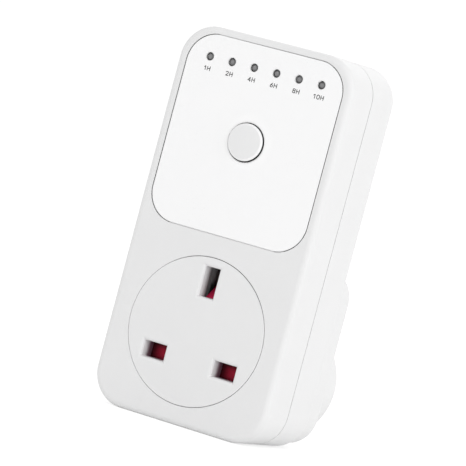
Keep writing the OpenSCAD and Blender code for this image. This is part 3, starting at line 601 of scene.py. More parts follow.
@dataclass(frozen=True)
class PanelPlastic:
    """The panel's glossy plastic, with painted shade on its side edges and painted light round the
    button.

    Attributes:
        name: The material's name.
        colour: The face's colour.
        clear: The colour of the strip round the button, painted paler to lift the shade that the
            button casts there.
        edge: The painted shade's colour on the side edges below the face.
        edge_shade_from: Distance from the panel's middle past which the side edges get that painted
            shade.
        edge_shade_top: Height above the plug face below which they get it.
        button: The button's centre on the panel.
        painted_light_radii: Radii between which the painted light round the button fades out.
    """

    name: str = "panel_moulding"
    colour: Colour = (0.941, 0.941, 0.943)
    clear: Colour = (0.985, 0.985, 0.986)
    edge: Colour = (0.16, 0.16, 0.16)
    edge_shade_from: float = 19.4
    edge_shade_top: float = FACE - 0.08
    button: Pair = BUTTON
    painted_light_radii: Pair = (5.6, 8.6)

    def build(self) -> bpy.types.Material:
        """Makes the material.

        Returns:
            The finished material.
        """
        recipe = Recipe(self.name)
        x, y, z = recipe.axes()
        # Painted shade on the side edges below the face, which darkens the gap round the panel.
        side = x.size() > self.edge_shade_from * MM
        below = (0.0 - y) < self.edge_shade_top * MM
        drift = recipe.noise(55.0, 3.0)
        grain = recipe.noise(2200.0, 2.0)
        # Painted light round the button, which lifts the shade that its cap casts on the panel.
        near = away_from(x, z, self.button).span_mm(*self.painted_light_radii, 1.0, 0.0)
        face = recipe.blend(near, recipe.mottled(drift, self.colour, 0.006), self.clear)
        recipe.set(
            Base_Color=recipe.blend(side * below, face, self.edge),
            Roughness=0.3 + 0.1 * (grain - 0.5) + 0.06 * (drift - 0.5),
            IOR=1.5,
            Coat_Weight=0.25,
            Coat_Roughness=0.12,
        )
        recipe.bump(grain, 0.000006)
        return recipe.material


@dataclass(frozen=True)
class ShutterPlastic:
    """The shutter's red plastic, with painted shade round the edges of the ways and painted light
    on the ramp.

    Attributes:
        name: The material's name.
        ramp: The ramp's colour, painted paler than the plates as if lit.
        plate: The colour of the plates in the middle of the ways.
        painted_wall_shade: The painted shade's colour on the plates at the walls of the ways.
        pitch: Distance from the line way to the neutral way.
        sunk: How far the middle of the plates, free of that painted shade, lies below the ways'
            middle.
        aside: Distances sideways at which the plates' own colour starts to fade into the painted
            shade and ends.
        along: The same up the body.
        foot: Heights up the body between which the ramp's colour takes over.
    """

    name: str = "shutter_moulding"
    ramp: Colour = (0.80, 0.028, 0.11)
    plate: Colour = (0.50, 0.012, 0.045)
    painted_wall_shade: Colour = (0.07, 0.002, 0.007)
    pitch: float = PIN_PITCH
    sunk: float = 0.4
    aside: Pair = (0.0, 3.6)
    along: Pair = (0.4, 2.7)
    foot: Pair = (11.0, 17.0)

    def build(self) -> bpy.types.Material:
        """Makes the material.

        Returns:
            The finished material.
        """
        recipe = Recipe(self.name)
        x, _, z = recipe.axes()
        # Painted shade: the plates are painted dark towards the walls of the ways and keep their
        # red only in the middle.
        aside = (x.size() - self.pitch / 2 * MM).size().span_mm(*self.aside, 1.0, 0.0)
        along = (z + self.sunk * MM).size().span_mm(*self.along, 1.0, 0.0)
        # Painted light: up the body the ramp takes its paler, lit copy of the red.
        high = z.span_mm(*self.foot)
        drift = recipe.noise(300.0, 3.0)
        grain = recipe.noise(2600.0, 2.0)
        plates = recipe.blend(aside * along * (0.9 + 0.2 * drift), self.painted_wall_shade, self.plate)
        recipe.set(
            Base_Color=recipe.blend(high, plates, self.ramp),
            Roughness=0.52 + 0.12 * (grain - 0.5) + 0.1 * (drift - 0.5),
            Specular_IOR_Level=0.15,
        )
        recipe.bump(grain, 0.00002)
        return recipe.material


@dataclass(frozen=True)
class CarrierPlastic:
    """The contact carrier's grey plastic, with painted shade down the way of the earth pin.

    Attributes:
        name: The material's name.
        colour: Its colour.
        deep: The painted shade's colour down the earth way.
        earth_y: Height of the earth way up the body.
        front: Height of the carrier's front above the plug face.
        fade: Distances from the way's middle where the painted shade ends and starts.
        foot: Heights up the body between which the painted shade grows wider.
        foot_fade: The wider part's fade, as `fade`.
        depth: Depths below the front at which the painted shade is full and starts.
        reach: Half the stretch up the body that gets the painted shade.
    """

    name: str = "carrier_moulding"
    colour: Colour = (0.60, 0.60, 0.605)
    deep: Colour = (0.012, 0.012, 0.012)
    earth_y: float = PIN_PITCH
    front: float = 35.1
    fade: Pair = (2.0, 4.1)
    foot: Pair = (20.8, 24.2)
    foot_fade: Pair = (3.1, 4.0)
    depth: Pair = (6.0, 2.0)
    reach: float = 5.6

    def build(self) -> bpy.types.Material:
        """Makes the material.

        Returns:
            The finished material.
        """
        recipe = Recipe(self.name)
        x, y, z = recipe.axes()
        # Painted shade down the earth way, wider towards the foot of the way.
        aside = x.size()
        near = aside.span_mm(*self.fade, 1.0, 0.0)
        foot = z.span_mm(*self.foot, 1.0, 0.0) * aside.span_mm(*self.foot_fade, 1.0, 0.2)
        near = near + (1.0 - near) * foot
        near = near * (0.0 - y).span_mm(*(self.front - depth for depth in self.depth))
        level = z.within(self.earth_y, self.reach)
        drift = recipe.noise(120.0, 3.0)
        grain = recipe.noise(2600.0, 2.0)
        body = recipe.mottled(drift, self.colour, 0.07)
        recipe.set(
            Base_Color=recipe.blend(near * level, body, self.deep),
            Roughness=0.58 + 0.12 * (grain - 0.5),
            Specular_IOR_Level=0.3,
        )
        recipe.bump(grain, 0.00003)
        return recipe.material


@dataclass(frozen=True)
class SolderMask:
    """Green board lacquer over copper tracks.

    Attributes:
        name: The material's name.
        colour: The lacquer's colour.
        track: The colour over copper.
        tracks: Bends of the tracks for each metre.
        track_w: Width of a track, in shares of a bend.
        ring: Inner and outer radius of the copper round a hole, in the same shares.
    """

    name: str = "solder_mask"
    colour: Colour = (0.012, 0.105, 0.045)
    track: Colour = (0.035, 0.21, 0.085)
    tracks: float = 165.0
    track_w: float = 0.14
    ring: Pair = (0.07, 0.16)

    def build(self) -> bpy.types.Material:
        """Makes the material.

        Returns:
            The finished material.
        """
        recipe = Recipe(self.name)
        near, far = (
            Signal(recipe, recipe.node(
                "ShaderNodeTexVoronoi",
                {"feature": feature, "distance": "MANHATTAN"},
                {"Vector": recipe.place, "Scale": self.tracks},
            ).outputs["Distance"])
            for feature in ("F1", "F2")
        )
        track = (far - near) < self.track_w
        ring = (near < self.ring[1]) * (near > self.ring[0])
        copper = (track + ring).span(0.2, 0.8)
        grain = recipe.noise(2600.0, 2.0)
        recipe.set(
            Base_Color=recipe.blend(copper, self.colour, self.track),
            Roughness=0.33 + 0.12 * (grain - 0.5),
            Coat_Weight=0.25,
            Coat_Roughness=0.2,
        )
        recipe.bump(copper + 0.1 * grain, 0.00004)
        return recipe.material


@dataclass(frozen=True)
class BandedBody:
    """Lacquer of an axial part, with bands round it.

    Attributes:
        name: The material's name.
        colour: The lacquer's colour.
        bands: Each band's place up the body, its half width, and its colour.
        roughness: The lacquer's roughness.
        stray: How far the bands' edges wander, in metres.
    """

    name: str
    colour: Colour
    bands: tuple[tuple[float, float, Colour], ...]
    roughness: float = 0.42
    stray: float = 0.00008

    def build(self) -> bpy.types.Material:
        """Makes the material.

        Returns:
            The finished material.
        """
        recipe = Recipe(self.name)
        _, _, z = recipe.axes()
        mottle = recipe.noise(1500.0, 3.0)
        colour = recipe.mottled(mottle, self.colour, 0.1)
        along = z + self.stray * (recipe.noise(3000.0, 1.0) - 0.5)
        for centre, half, band in self.bands:
            colour = recipe.blend(along.within(centre, half), colour, band)
        recipe.set(Base_Color=colour, Roughness=self.roughness + 0.15 * (mottle - 0.5))
        recipe.bump(mottle, 0.00003)
        return recipe.material


@dataclass(frozen=True)
class CanSleeve:
    """Shrunk sleeve of the electrolytic capacitor, with a pale stripe of dashes on its side.

    Attributes:
        name: The material's name.
        colour: The sleeve's colour.
        stripe: The stripe's colour.
        axis_x: Sideways place of the can's axis.
        radius: The can's radius.
        dash: Spacing of the dashes, in metres.
        dash_w: Half a dash's width, as a share of that.
        dash_y: The dashes' middle and half their height up the body.
        stripe_from: Where the stripe starts, as a share of the radius.
    """

    name: str = "can_sleeve"
    colour: Colour = (0.018, 0.02, 0.026)
    stripe: Colour = (0.50, 0.52, 0.52)
    axis_x: float = 16.65
    radius: float = 4.0
    dash: float = 0.0026
    dash_w: float = 0.14
    dash_y: Pair = (56.5, 0.7)
    stripe_from: float = 0.86

    def build(self) -> bpy.types.Material:
        """Makes the material.

        Returns:
            The finished material.
        """
        recipe = Recipe(self.name)
        x, y, z = recipe.axes()
        side = (self.axis_x * MM - x) > self.radius * self.stripe_from * MM
        wave = recipe.node("ShaderNodeMath", {"operation": "PINGPONG"}, {0: y, 1: self.dash / 2})
        dash = (Signal(recipe, wave.outputs[0]) < self.dash * self.dash_w) * z.within(*self.dash_y)
        grain = recipe.noise(1800.0, 2.0)
        recipe.set(
            Base_Color=recipe.blend(side * (1 - dash), self.colour, self.stripe),
            Roughness=0.33 + 0.12 * (grain - 0.5),
        )
        recipe.bump(grain, 0.00001)
        return recipe.material


@dataclass(frozen=True)
class PrintedInk:
    """Pad-printed ink with slightly uneven cover.

    Attributes:
        name: The material's name.
        colour: The ink's colour.
    """

    name: str = "printed_ink"
    colour: Colour = (0.012, 0.012, 0.013)

    def build(self) -> bpy.types.Material:
        """Makes the material.

        Returns:
            The finished material.
        """
        recipe = Recipe(self.name)
        cover = recipe.noise(2400.0, 3.0)
        recipe.set(
            Base_Color=recipe.blend(cover.span(0.3, 0.8), self.colour, shade(self.colour, 1.4)),
            Roughness=0.5 + 0.2 * (cover - 0.5),
        )
        return recipe.material


TIN: Colour = (0.55, 0.55, 0.54)


class Finish(Enum):
    """The finishes of the timer's pieces."""

    HOUSING = MouldedPlastic("housing_moulding", (0.80, 0.80, 0.802), 0.46, 3000.0, 0.000022)
    PANEL = PanelPlastic()
    PANEL_LIP = MouldedPlastic(
        "lip_moulding", (0.941, 0.941, 0.943), 0.3, 2200.0, 0.000006, 0.006, 0.25
    )
    SOCKET = SocketPlastic()
    BUTTON = ButtonPlastic()
    SHUTTER = ShutterPlastic()
    CARRIER = CarrierPlastic()
    BLACK = MouldedPlastic("package_moulding", (0.022, 0.022, 0.024), 0.45, 3000.0, 0.00002, 0.15)
    SLEEVE = MouldedPlastic("sleeve_moulding", (0.028, 0.028, 0.03), 0.5, 2600.0, 0.00003, 0.1)
    RELAY = MouldedPlastic("relay_moulding", (0.02, 0.075, 0.26), 0.3, 1800.0, 0.00001, 0.05, 0.3)
    FILM = MouldedPlastic("film_case", (0.62, 0.36, 0.035), 0.42, 2000.0, 0.00003, 0.05)
    VARISTOR = MouldedPlastic(
        "varistor_lacquer", (0.03, 0.11, 0.31), 0.38, 900.0, 0.00008, 0.08, 0.2
    )
    RESISTOR = BandedBody(
        "resistor_lacquer", (0.30, 0.21, 0.13),
        (
            (54.0, 0.35, (0.33, 0.012, 0.01)), (55.3, 0.35, (0.03, 0.012, 0.008)),
            (56.6, 0.35, (0.02, 0.02, 0.02)), (59.0, 0.35, (0.45, 0.30, 0.08)),
        ),
    )
    DIODE = BandedBody("diode_moulding", (0.024, 0.024, 0.026), ((72.0, 0.4, TIN),))
    CHIP = BandedBody(
        "chip_ends", (0.022, 0.022, 0.024), ((77.97, 0.24, TIN), (79.37, 0.24, TIN)), 0.4
    )
    CAN = CanSleeve()
    WIRE_BROWN = MouldedPlastic(
        "brown_insulation", (0.12, 0.045, 0.018), 0.4, 1500.0, 0.00003, 0.06
    )
    WIRE_BLUE = MouldedPlastic("blue_insulation", (0.02, 0.06, 0.30), 0.4, 1500.0, 0.00003, 0.06)
    WIRE_RED = MouldedPlastic("red_insulation", (0.36, 0.015, 0.012), 0.4, 1500.0, 0.00003, 0.06)
    BRASS = RolledMetal("rolled_brass", (0.76, 0.56, 0.23))
    PIN_BRASS = RolledMetal("pin_brass", (0.78, 0.59, 0.27), 0.22, (1.0, 0.05, 1.0), 0.1)
    STEEL = RolledMetal("drawn_wire", (0.60, 0.60, 0.61), 0.26, (1.0, 1.0, 0.08), 0.1)
    ZINC = RolledMetal("plated_screw", (0.70, 0.70, 0.68), 0.3, (1.0, 1.0, 1.0), 0.18)
    ALUMINIUM = RolledMetal("can_aluminium", (0.78, 0.78, 0.79), 0.34, (1.0, 1.0, 1.0), 0.06)
    SOLDER = RolledMetal("solder", (0.62, 0.62, 0.61), 0.24, (1.0, 1.0, 1.0), 0.2)
    MASK = SolderMask()
    INK = PrintedInk()
    SILK = PrintedInk("board_print", (0.72, 0.72, 0.70))

    def material(self) -> bpy.types.Material:
        """Gives the finish's material, made on its first use."""
        return bpy.data.materials.get(self.value.name) or self.value.build()


# ---- Mesh building ----


class Form:
    """A mesh in the making, in millimetres on the plug face."""

    def __init__(self) -> None:
        """Starts an empty mesh."""
        self.mesh = bmesh.new()

    def block(self, size: Point, at: Point, soften: float = 0.0, steps: int = 3,
              turn: float = 0.0) -> list[bmesh.types.BMVert]:
        """Adds a box.

        Args:
            size: Its width, height and depth.
            at: Its centre.
            soften: The radius of its edges.
            steps: Segments of each rounded edge.
            turn: How far it is turned in the plane of the plug face, in degrees.

        Returns:
            Its corners, as they were before they were rounded.
        """
        matrix = (
            Matrix.Translation(at) @ Matrix.Rotation(math.radians(turn), 4, "Z")
            @ Matrix.Diagonal((*size, 1.0))
        )
        made = bmesh.ops.create_cube(self.mesh, size=1.0, matrix=matrix)["verts"]
        if soften:
            self.soften(edges_of(made), soften, steps)
        return made

    def soften(self, edges: Iterable[bmesh.types.BMEdge], width: float, steps: int = 3) -> None:
        """Rounds edges.

        Args:
            edges: The edges.
            width: The radius that they get.
            steps: Segments of each rounded edge.
        """
        bmesh.ops.bevel(
            self.mesh, geom=list(edges), offset=width, segments=steps, profile=0.5,
            affect="EDGES", clamp_overlap=True, material=-1,
        )

    def end_face(self, verts: Sequence[bmesh.types.BMVert], low: bool = True) -> bmesh.types.BMFace:
        """Finds an end of a box.

        Args:
            verts: The box's corners.
            low: Whether it is the lower end, nearer the wall.

        Returns:
            The face that lies lowest or highest above the plug face.
        """
        faces = {face for vert in verts for face in vert.link_faces}
        pick = min if low else max
        return pick(faces, key=lambda face: face.calc_center_median().z)

    def draw_out(self, face: bmesh.types.BMFace, length: float, scale: Pair) -> bmesh.types.BMFace:
        """Extrudes a face along its height axis and scales the new end.

        Args:
            face: The face.
            length: How far the end moves, which is negative for downwards.
            scale: The end's size against the face's, sideways and up the body.

        Returns:
            The new end.
        """
        about = Matrix.Translation(-face.calc_center_median())
        grown = bmesh.ops.extrude_face_region(self.mesh, geom=[face])["geom"]
        verts = [item for item in grown if isinstance(item, bmesh.types.BMVert)]
        bmesh.ops.scale(self.mesh, vec=(*scale, 1.0), space=about, verts=verts)
        bmesh.ops.translate(self.mesh, vec=(0, 0, length), verts=verts)
        return next(item for item in grown if isinstance(item, bmesh.types.BMFace))

    def lathe(self, profile: Sequence[Pair], at: Point, axis: Point = (0, 0, 1),
              steps: int = 64) -> None:
        """Turns a profile round an axis.

        Args:
            profile: Radius and height of each point, from one end to the other.
            at: The foot of the axis.
            axis: The axis's direction.
            steps: Segments of the full turn.
        """
        up = Vector(axis).normalized()
        side = up.orthogonal().normalized()
        foot = Vector(at)
        verts = [
            self.mesh.verts.new(foot + side * radius + up * height) for radius, height in profile
        ]
        edges = [self.mesh.edges.new(pair) for pair in zip(verts, verts[1:])]
        bmesh.ops.spin(
            self.mesh, geom=verts + edges, cent=foot, axis=up, angle=math.tau, steps=steps,
            use_merge=True, use_normal_flip=False, use_duplicate=False,
        )

    def cap(self, at: Vector, facing: Vector, radius: float,
            sides: int) -> list[bmesh.types.BMFace]:
        """Adds the round face that a rod grows from.

        Args:
            at: Its middle.
            facing: The direction that the rod takes.
            radius: The rod's radius.
            sides: Flat sides round it.

        Returns:
            The face, in a list.
        """
        place = Matrix.Translation(at) @ facing.to_track_quat("Z", "Y").to_matrix().to_4x4()
        ring = bmesh.ops.create_circle(
            self.mesh, cap_ends=True, radius=radius, segments=sides, matrix=place
        )["verts"]
        return ring[0].link_faces[:]

    def coil(self, foot: Point, axis: Point, coil_r: float, wire_r: float, length: float,
             turns: float, sides: int = 8, steps: int = 24) -> None:
        """Winds a rod round an axis.

        Args:
            foot: The start of the axis.
            axis: The axis's direction.
            coil_r: Distance of the rod's middle from the axis.
            wire_r: Radius of the rod.
            length: How far the coil climbs along the axis.
            turns: Number of turns.
            sides: Flat sides round the rod.
            steps: Segments of each turn.
        """
        up = Vector(axis).normalized()
        out = up.orthogonal().normalized()
        start = self.cap(Vector(foot) + out * coil_r, up.cross(out), wire_r, sides)
        count = max(2, round(turns * steps))
        bmesh.ops.spin(
            self.mesh, geom=start, cent=foot, axis=up, dvec=up * (length / count),
            angle=math.tau * turns, steps=count, use_merge=False, use_normal_flip=False,
            use_duplicate=False,
        )

    def sweep(self, path: Sequence[Vector], radius: float, sides: int = 12) -> None:
        """Draws a round rod along a path.

        Args:
            path: The points of its centre line.
            radius: The rod's radius.
            sides: Flat sides round it.
        """
        ahead = (path[1] - path[0]).normalized()
        cap = self.cap(path[0], ahead, radius, sides)
        for i in range(1, len(path)):
            after = (path[min(i + 1, len(path) - 1)] - path[i - 1]).normalized()
            swing = ahead.rotation_difference(after).to_matrix()
            grown = bmesh.ops.extrude_face_region(self.mesh, geom=cap)["geom"]
            cap = [item for item in grown if isinstance(item, bmesh.types.BMFace)]
            verts = [item for item in grown if isinstance(item, bmesh.types.BMVert)]
            bmesh.ops.rotate(self.mesh, cent=path[i - 1], matrix=swing, verts=verts)
            bmesh.ops.translate(self.mesh, vec=path[i] - path[i - 1], verts=verts)
            ahead = after

    def finish(self, name: str, finish: "Finish | bpy.types.Material", slot: str,
               replaces: Sequence[str] = (), body: str = "housing", crease: float = 32.0,
               crisp: bool = False) -> bpy.types.Object:
        """Makes the mesh an object of the timer.

        Args:
            name: The piece's name.
            finish: Its finish, or a material.
            slot: The record's material slot that it goes with; it is not used.
            replaces: The CAD nodes that it stands for.
            body: The body that it rides on.
            crease: The angle past which an edge stays sharp, in degrees.
            crisp: Whether flat faces stay flat beside their rounded edges.

        Returns:
            The new object.
        """
        bmesh.ops.remove_doubles(self.mesh, verts=self.mesh.verts, dist=MERGE)
        bmesh.ops.recalc_face_normals(self.mesh, faces=self.mesh.faces)
        if crisp:
            for edge in self.mesh.edges:
                areas = sorted(face.calc_area() for face in edge.link_faces)
                edge.smooth = len(areas) == 2 and areas[1] < FLAT * areas[0]
        bmesh.ops.transform(self.mesh, matrix=STAND, verts=self.mesh.verts)
        data = bpy.data.meshes.new(name)
        self.mesh.to_mesh(data)
        self.mesh.free()
        data.polygons.foreach_set("use_smooth", [True] * len(data.polygons))
        if not crisp:
            data.set_sharp_from_angle(angle=math.radians(crease))
        data.materials.append(finish.material() if isinstance(finish, Finish) else finish)
        piece = bpy.data.objects.new(name, data)
        bpy.context.scene.collection.objects.link(piece)
        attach(piece, body)
        if replaces:
            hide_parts(*replaces)
        LOG.info("made %s on %s with %d faces", name, body, len(data.polygons))
        return piece


def edges_of(verts: Iterable[bmesh.types.BMVert]) -> set[bmesh.types.BMEdge]:
    """Gives the edges that meet at corners, passing over corners that are gone."""
    return {edge for vert in verts if vert.is_valid for edge in vert.link_edges}


def dress(node: str, finish: Finish) -> None:
    """Gives a CAD node its finish.

    Args:
        node: The node's name.
        finish: The finish.
    """
    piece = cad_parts[node]
    piece.data.materials.clear()
    piece.data.materials.append(finish.material())
    LOG.info("dressed %s in %s", node, finish.value.name)


def arc(centre: Pair, radius: float, first: float, last: float, steps: int) -> list[Pair]:
    """Gives points along an arc.

    Args:
        centre: The arc's centre.
        radius: Its radius.
        first: The angle of its first point, in degrees.
        last: The angle of its last point, in degrees.
        steps: How many pieces it is cut into.

    Returns:
        The points, in order.
    """
    angles = [math.radians(first + (last - first) * i / steps) for i in range(steps + 1)]
    return [(centre[0] + radius * math.cos(a), centre[1] + radius * math.sin(a)) for a in angles]


def rounded_can(radius: float, low: float, high: float, edge: float) -> list[Pair]:
    """Gives the profile of a round body with rounded ends.

    Args:
        radius: Its radius.
        low: Height of its lower end.
        high: Height of its upper end.
        edge: Radius of its edges.

    Returns:
        Radius and height of each point, from the lower end to the upper one.
    """
    return [
        (0.0, low), *arc((radius - edge, low + edge), edge, -90, 0, 4),
        *arc((radius - edge, high - edge), edge, 0, 90, 4), (0.0, high),
    ]


def smooth_curve(points: Sequence[Point], steps: int) -> list[Vector]:
    """Gives a smooth curve through points.

    Args:
        points: The points.
        steps: How many pieces lie between each two.

    Returns:
        The curve's points.
    """
    p = [Vector(point) for point in points]
    curve = []
    for i in range(len(p) - 1):
        a, b, c, d = p[max(i - 1, 0)], p[i], p[i + 1], p[min(i + 2, len(p) - 1)]
        for k in range(steps):
            u = k / steps
            curve.append(
                0.5 * (2 * b + (c - a) * u + (2 * a - 5 * b + 4 * c - d) * u**2
                       + (3 * b - a - 3 * c + d) * u**3)
            )
    return [*curve, p[-1]]


def indicator_x(index: int) -> float:
    """Gives the sideways place of an indicator."""
    return (index - (len(HOURS) - 1) / 2) * ROW_PITCH


def either_side(middle: Pair, across: float = 0.0, up: float = 0.0) -> list[Pair]:
    """Gives the two places at one distance to either side of a middle."""
    return [(middle[0] + side * across, middle[1] + side * up) for side in (-1, 1)]


# ---- The timer's sub-assemblies ----


@dataclass(frozen=True)
class Thread:
    """The thread of a screw.

    Attributes:
        foot: Height of its start above the plug face.
        radius: Distance of its ridge from the screw's axis.
        ridge: The ridge's radius.
        length: How far it climbs.
        turns: Its turns.
        steps: Segments of each turn.
    """

    foot: float
    radius: float
    ridge: float
    length: float
    turns: float
    steps: int


@dataclass
class Housing:
    """The two shells, the socket face and their screws.

    Attributes:
        screws: Sideways and upward place of the housing screws on the right.
        board_screws: The same of the board screws.
        thread: The housing screws' thread, from under their heads to their tips.
        board_thread: The board screws' thread.
    """

    screws: tuple[Pair, ...] = ((17.6, -9.8), (20.3, 85.5))
    board_screws: tuple[Pair, ...] = ((20.1, 40.0), (20.1, 70.0))
    thread: Thread = Thread(21.6, 1.42, 0.14, 10.6, 9.5, 18)
    board_thread: Thread = Thread(36.2, 0.98, 0.1, 2.8, 4.0, 16)

    def build(self) -> None:
        """Dresses the shells, the socket face and the screws, and cuts the screws' threads."""
        for node, finish in (
            ("front_shell", Finish.HOUSING), ("rear_shell", Finish.HOUSING),
            ("socket_disc", Finish.SOCKET), ("housing_screws", Finish.ZINC),
            ("board_screws", Finish.ZINC),
        ):
            dress(node, finish)
        self.threads("housing_screw_threads", self.screws, self.thread)
        self.threads("board_screw_threads", self.board_screws, self.board_thread)

    def threads(self, name: str, places: Iterable[Pair], thread: Thread) -> None:
        """Winds the threads of some screws and of their mirror images.

        Args:
            name: The piece's name.
            places: Sideways and upward place of each screw on the right.
            thread: Their thread.
        """
        form = Form()
        for side in (-1, 1):
            for x, y in places:
                form.coil((side * x, y, thread.foot), (0, 0, 1), thread.radius, thread.ridge,
                          thread.length, thread.turns, 6, thread.steps)
        form.finish(name, Finish.ZINC, "screw_steel")


@dataclass
class ControlPanel:
    """The inlaid panel with its button, indicators and printed hours.

    Attributes:
        face: Height of the panel's face above the plug face.
        button: Centre of the button.
        button_r: Radius of the button.
        wall_top: Height at which the button's rim starts to round.
        rim_r: Radius of the rounding.
        dome: Height of the dome on the button.
        flange: Heights of the retaining flange's faces.
        flange_r: Its radius.
        stem: Radius and lower end of the stem that meets the switch.
        lens_r: Radius of a lens.
        lens_top: Height of a lens's top.
        lens_l: Length of a lens.
        collar: How far the collar at its foot stands out, and the collar's height.
        lead_w: Width of a lens's leads.
        label_drop: Distance from the indicators down to the middle of the labels.
        label_shift: Distance that the labels stand to the left of the indicators.
        letter_gap: Gap between two letters, as a share of their height.
        letter_w: How much wider the letters are than their plain shapes.
        lip: Inner and outer radius of the lip round the button.
        lip_at: That lip's middle.
        lip_depth: How far it reaches below the panel's face.
        lens_lip: Inner and outer radius of the lips round the lenses.
        lens_lip_depth: How far they reach below the face.
        edge_l: Length of the panel's straight top and bottom edges.
        top_bead: Width and depth of the bead above the panel, its height up the body, how far
            its middle lies below the face, its edges' radius and its turn in degrees.
        foot_bead: The same of the bead below the panel.
        label_h: Height of the labels.
        stroke: Width of their strokes.
        ink_h: Thickness of the ink.
        GLYPHS: Each character's width and pen strokes, on a square one unit high.
    """

    face: float = FACE
    button: Pair = BUTTON
    button_r: float = 5.2
    wall_top: float = 44.45
    rim_r: float = 0.35
    dome: float = 0.2
    flange: Pair = (40.7, 41.5)
    flange_r: float = 6.45
    stem: Pair = (1.7, 40.1)
    lens_r: float = 1.15
    lens_top: float = 43.65
    lens_l: float = 4.6
    collar: Pair = (0.1, 0.8)
    lead_w: float = 0.45
    label_drop: float = 3.35
    label_shift: float = -0.07
    label_h: float = 1.10
    stroke: float = 0.21
    letter_gap: float = 0.40
    letter_w: float = 1.16
    ink_h: float = 0.012
    lip: Pair = (5.49, 5.7)
    lip_at: Pair = (BUTTON[0] - 0.055, BUTTON[1] - 0.04)
    lip_depth: float = 0.9
    lens_lip: Pair = (1.17, 1.3)
    lens_lip_depth: float = 0.45
    edge_l: float = 33.0
    top_bead: tuple[float, ...] = (0.16, 0.8, 88.775, 0.41, 0.03, 0.12)
    foot_bead: tuple[float, ...] = (0.2, 0.14, 35.2, 0.44, 0.02, 0.0)

    GLYPHS: ClassVar[dict[str, tuple[float, list[list[Pair]]]]] = {
        "1": (0.44, [[(0.0, 0.74), (0.28, 1.0), (0.28, 0.0)]]),
        "2": (0.60, [[
            (0.0, 0.76), (0.08, 0.93), (0.28, 1.0), (0.48, 0.93), (0.56, 0.74), (0.46, 0.5),
            (0.0, 0.0), (0.58, 0.0),
        ]]),
        "4": (0.62, [[(0.46, 0.0), (0.46, 1.0), (0.0, 0.27), (0.62, 0.27)]]),
        "6": (0.58, [[
            (0.46, 1.0), (0.2, 0.7), (0.03, 0.38), (0.03, 0.16), (0.16, 0.0), (0.42, 0.0),
            (0.55, 0.15), (0.55, 0.4), (0.42, 0.56), (0.18, 0.56), (0.06, 0.46),
        ]]),
        "8": (0.58, [[
            (0.17, 0.53), (0.04, 0.66), (0.04, 0.87), (0.17, 1.0), (0.41, 1.0), (0.54, 0.87),
            (0.54, 0.66), (0.41, 0.53), (0.17, 0.53), (0.0, 0.38), (0.0, 0.14), (0.15, 0.0),
            (0.43, 0.0), (0.58, 0.14), (0.58, 0.38), (0.41, 0.53),
        ]]),
        "0": (0.60, [[
            (0.18, 0.0), (0.0, 0.2), (0.0, 0.8), (0.18, 1.0), (0.42, 1.0), (0.6, 0.8),
            (0.6, 0.2), (0.42, 0.0), (0.18, 0.0),
        ]]),
        "H": (0.62, [[(0.0, 0.0), (0.0, 1.0)], [(0.62, 0.0), (0.62, 1.0)],
                     [(0.0, 0.5), (0.62, 0.5)]]),
    }

    def build(self) -> None:
        """Makes the panel's pieces."""
        dress("timer_panel", Finish.PANEL)
        self.button_cap()
        self.lips()
        self.beads()
        for index, hour in enumerate(HOURS):
            self.lens(index, hour)
            self.label(index, hour)

    def button_cap(self) -> None:
        """Turns the button: a slightly domed cap with a rounded rim, a hidden flange and a stem."""
        inner = self.button_r - self.rim_r
        top = self.wall_top + self.rim_r
        ball_r = (inner**2 + self.dome**2) / (2 * self.dome)
        reach = math.degrees(math.asin(inner / ball_r))
        stem_r, stem_z = self.stem
        low, high = self.flange
        profile = [
            (0.0, stem_z), (stem_r, stem_z), (stem_r, low), (self.flange_r, low),
            (self.flange_r, high), (self.button_r, high),
            *arc((inner, self.wall_top), self.rim_r, 0, 90, 8),
            *arc((0.0, top + self.dome - ball_r), ball_r, 90 - reach, 90, 10)[1:],
        ]
        form = Form()
        form.lathe(profile, (*self.button, 0.0), steps=128)
        form.finish("button_cap", Finish.BUTTON, "button_white", ["push_button"], "button", 40)

    def lips(self) -> None:
        """Turns the moulded lips that edge the holes of the button and of the lenses."""
        ring = Form()
        self.lip_ring(ring, self.lip, self.lip_at, self.lip_depth, 128)
        ring.finish("button_hole_lip", Finish.PANEL_LIP, "panel_white")
        rings = Form()
        for index in range(len(HOURS)):
            at = (indicator_x(index), ROW)
            self.lip_ring(rings, self.lens_lip, at, self.lens_lip_depth, 48)
        rings.finish("lens_hole_lips", Finish.PANEL_LIP, "panel_white")

    def lip_ring(self, form: Form, radii: Pair, at: Pair, deep: float, steps: int) -> None:
        """Turns one lip, flush with the panel's face.

        Args:
            form: The mesh to add it to.
            radii: Its inner and outer radius.
            at: Its middle.
            deep: How far it reaches below the face.
            steps: Segments of the turn.
        """
        inner, outer = radii
        foot = self.face - deep
        ease = 0.25 * (outer - inner)
        profile = [
            (outer, foot), (inner + 2 * ease, foot), (inner, foot + 3 * ease),
            (inner, self.face - ease), (inner + ease, self.face), (outer, self.face),
            (outer, foot),
        ]
        form.lathe(profile, (*at, 0.0), steps=steps)

    def beads(self) -> None:
        """Lays the shell's beads in the gap along the panel's top and, lower, along its foot."""
        for name, bead in (("panel_top_bead", self.top_bead), ("panel_foot_bead", self.foot_bead)):
            width, depth, y, drop, edge, turn = bead
            form = Form()
            form.block((self.edge_l, width, depth), (0.0, y, self.face - drop), edge, 2, turn)
            form.finish(name, Finish.HOUSING, "housing_white")

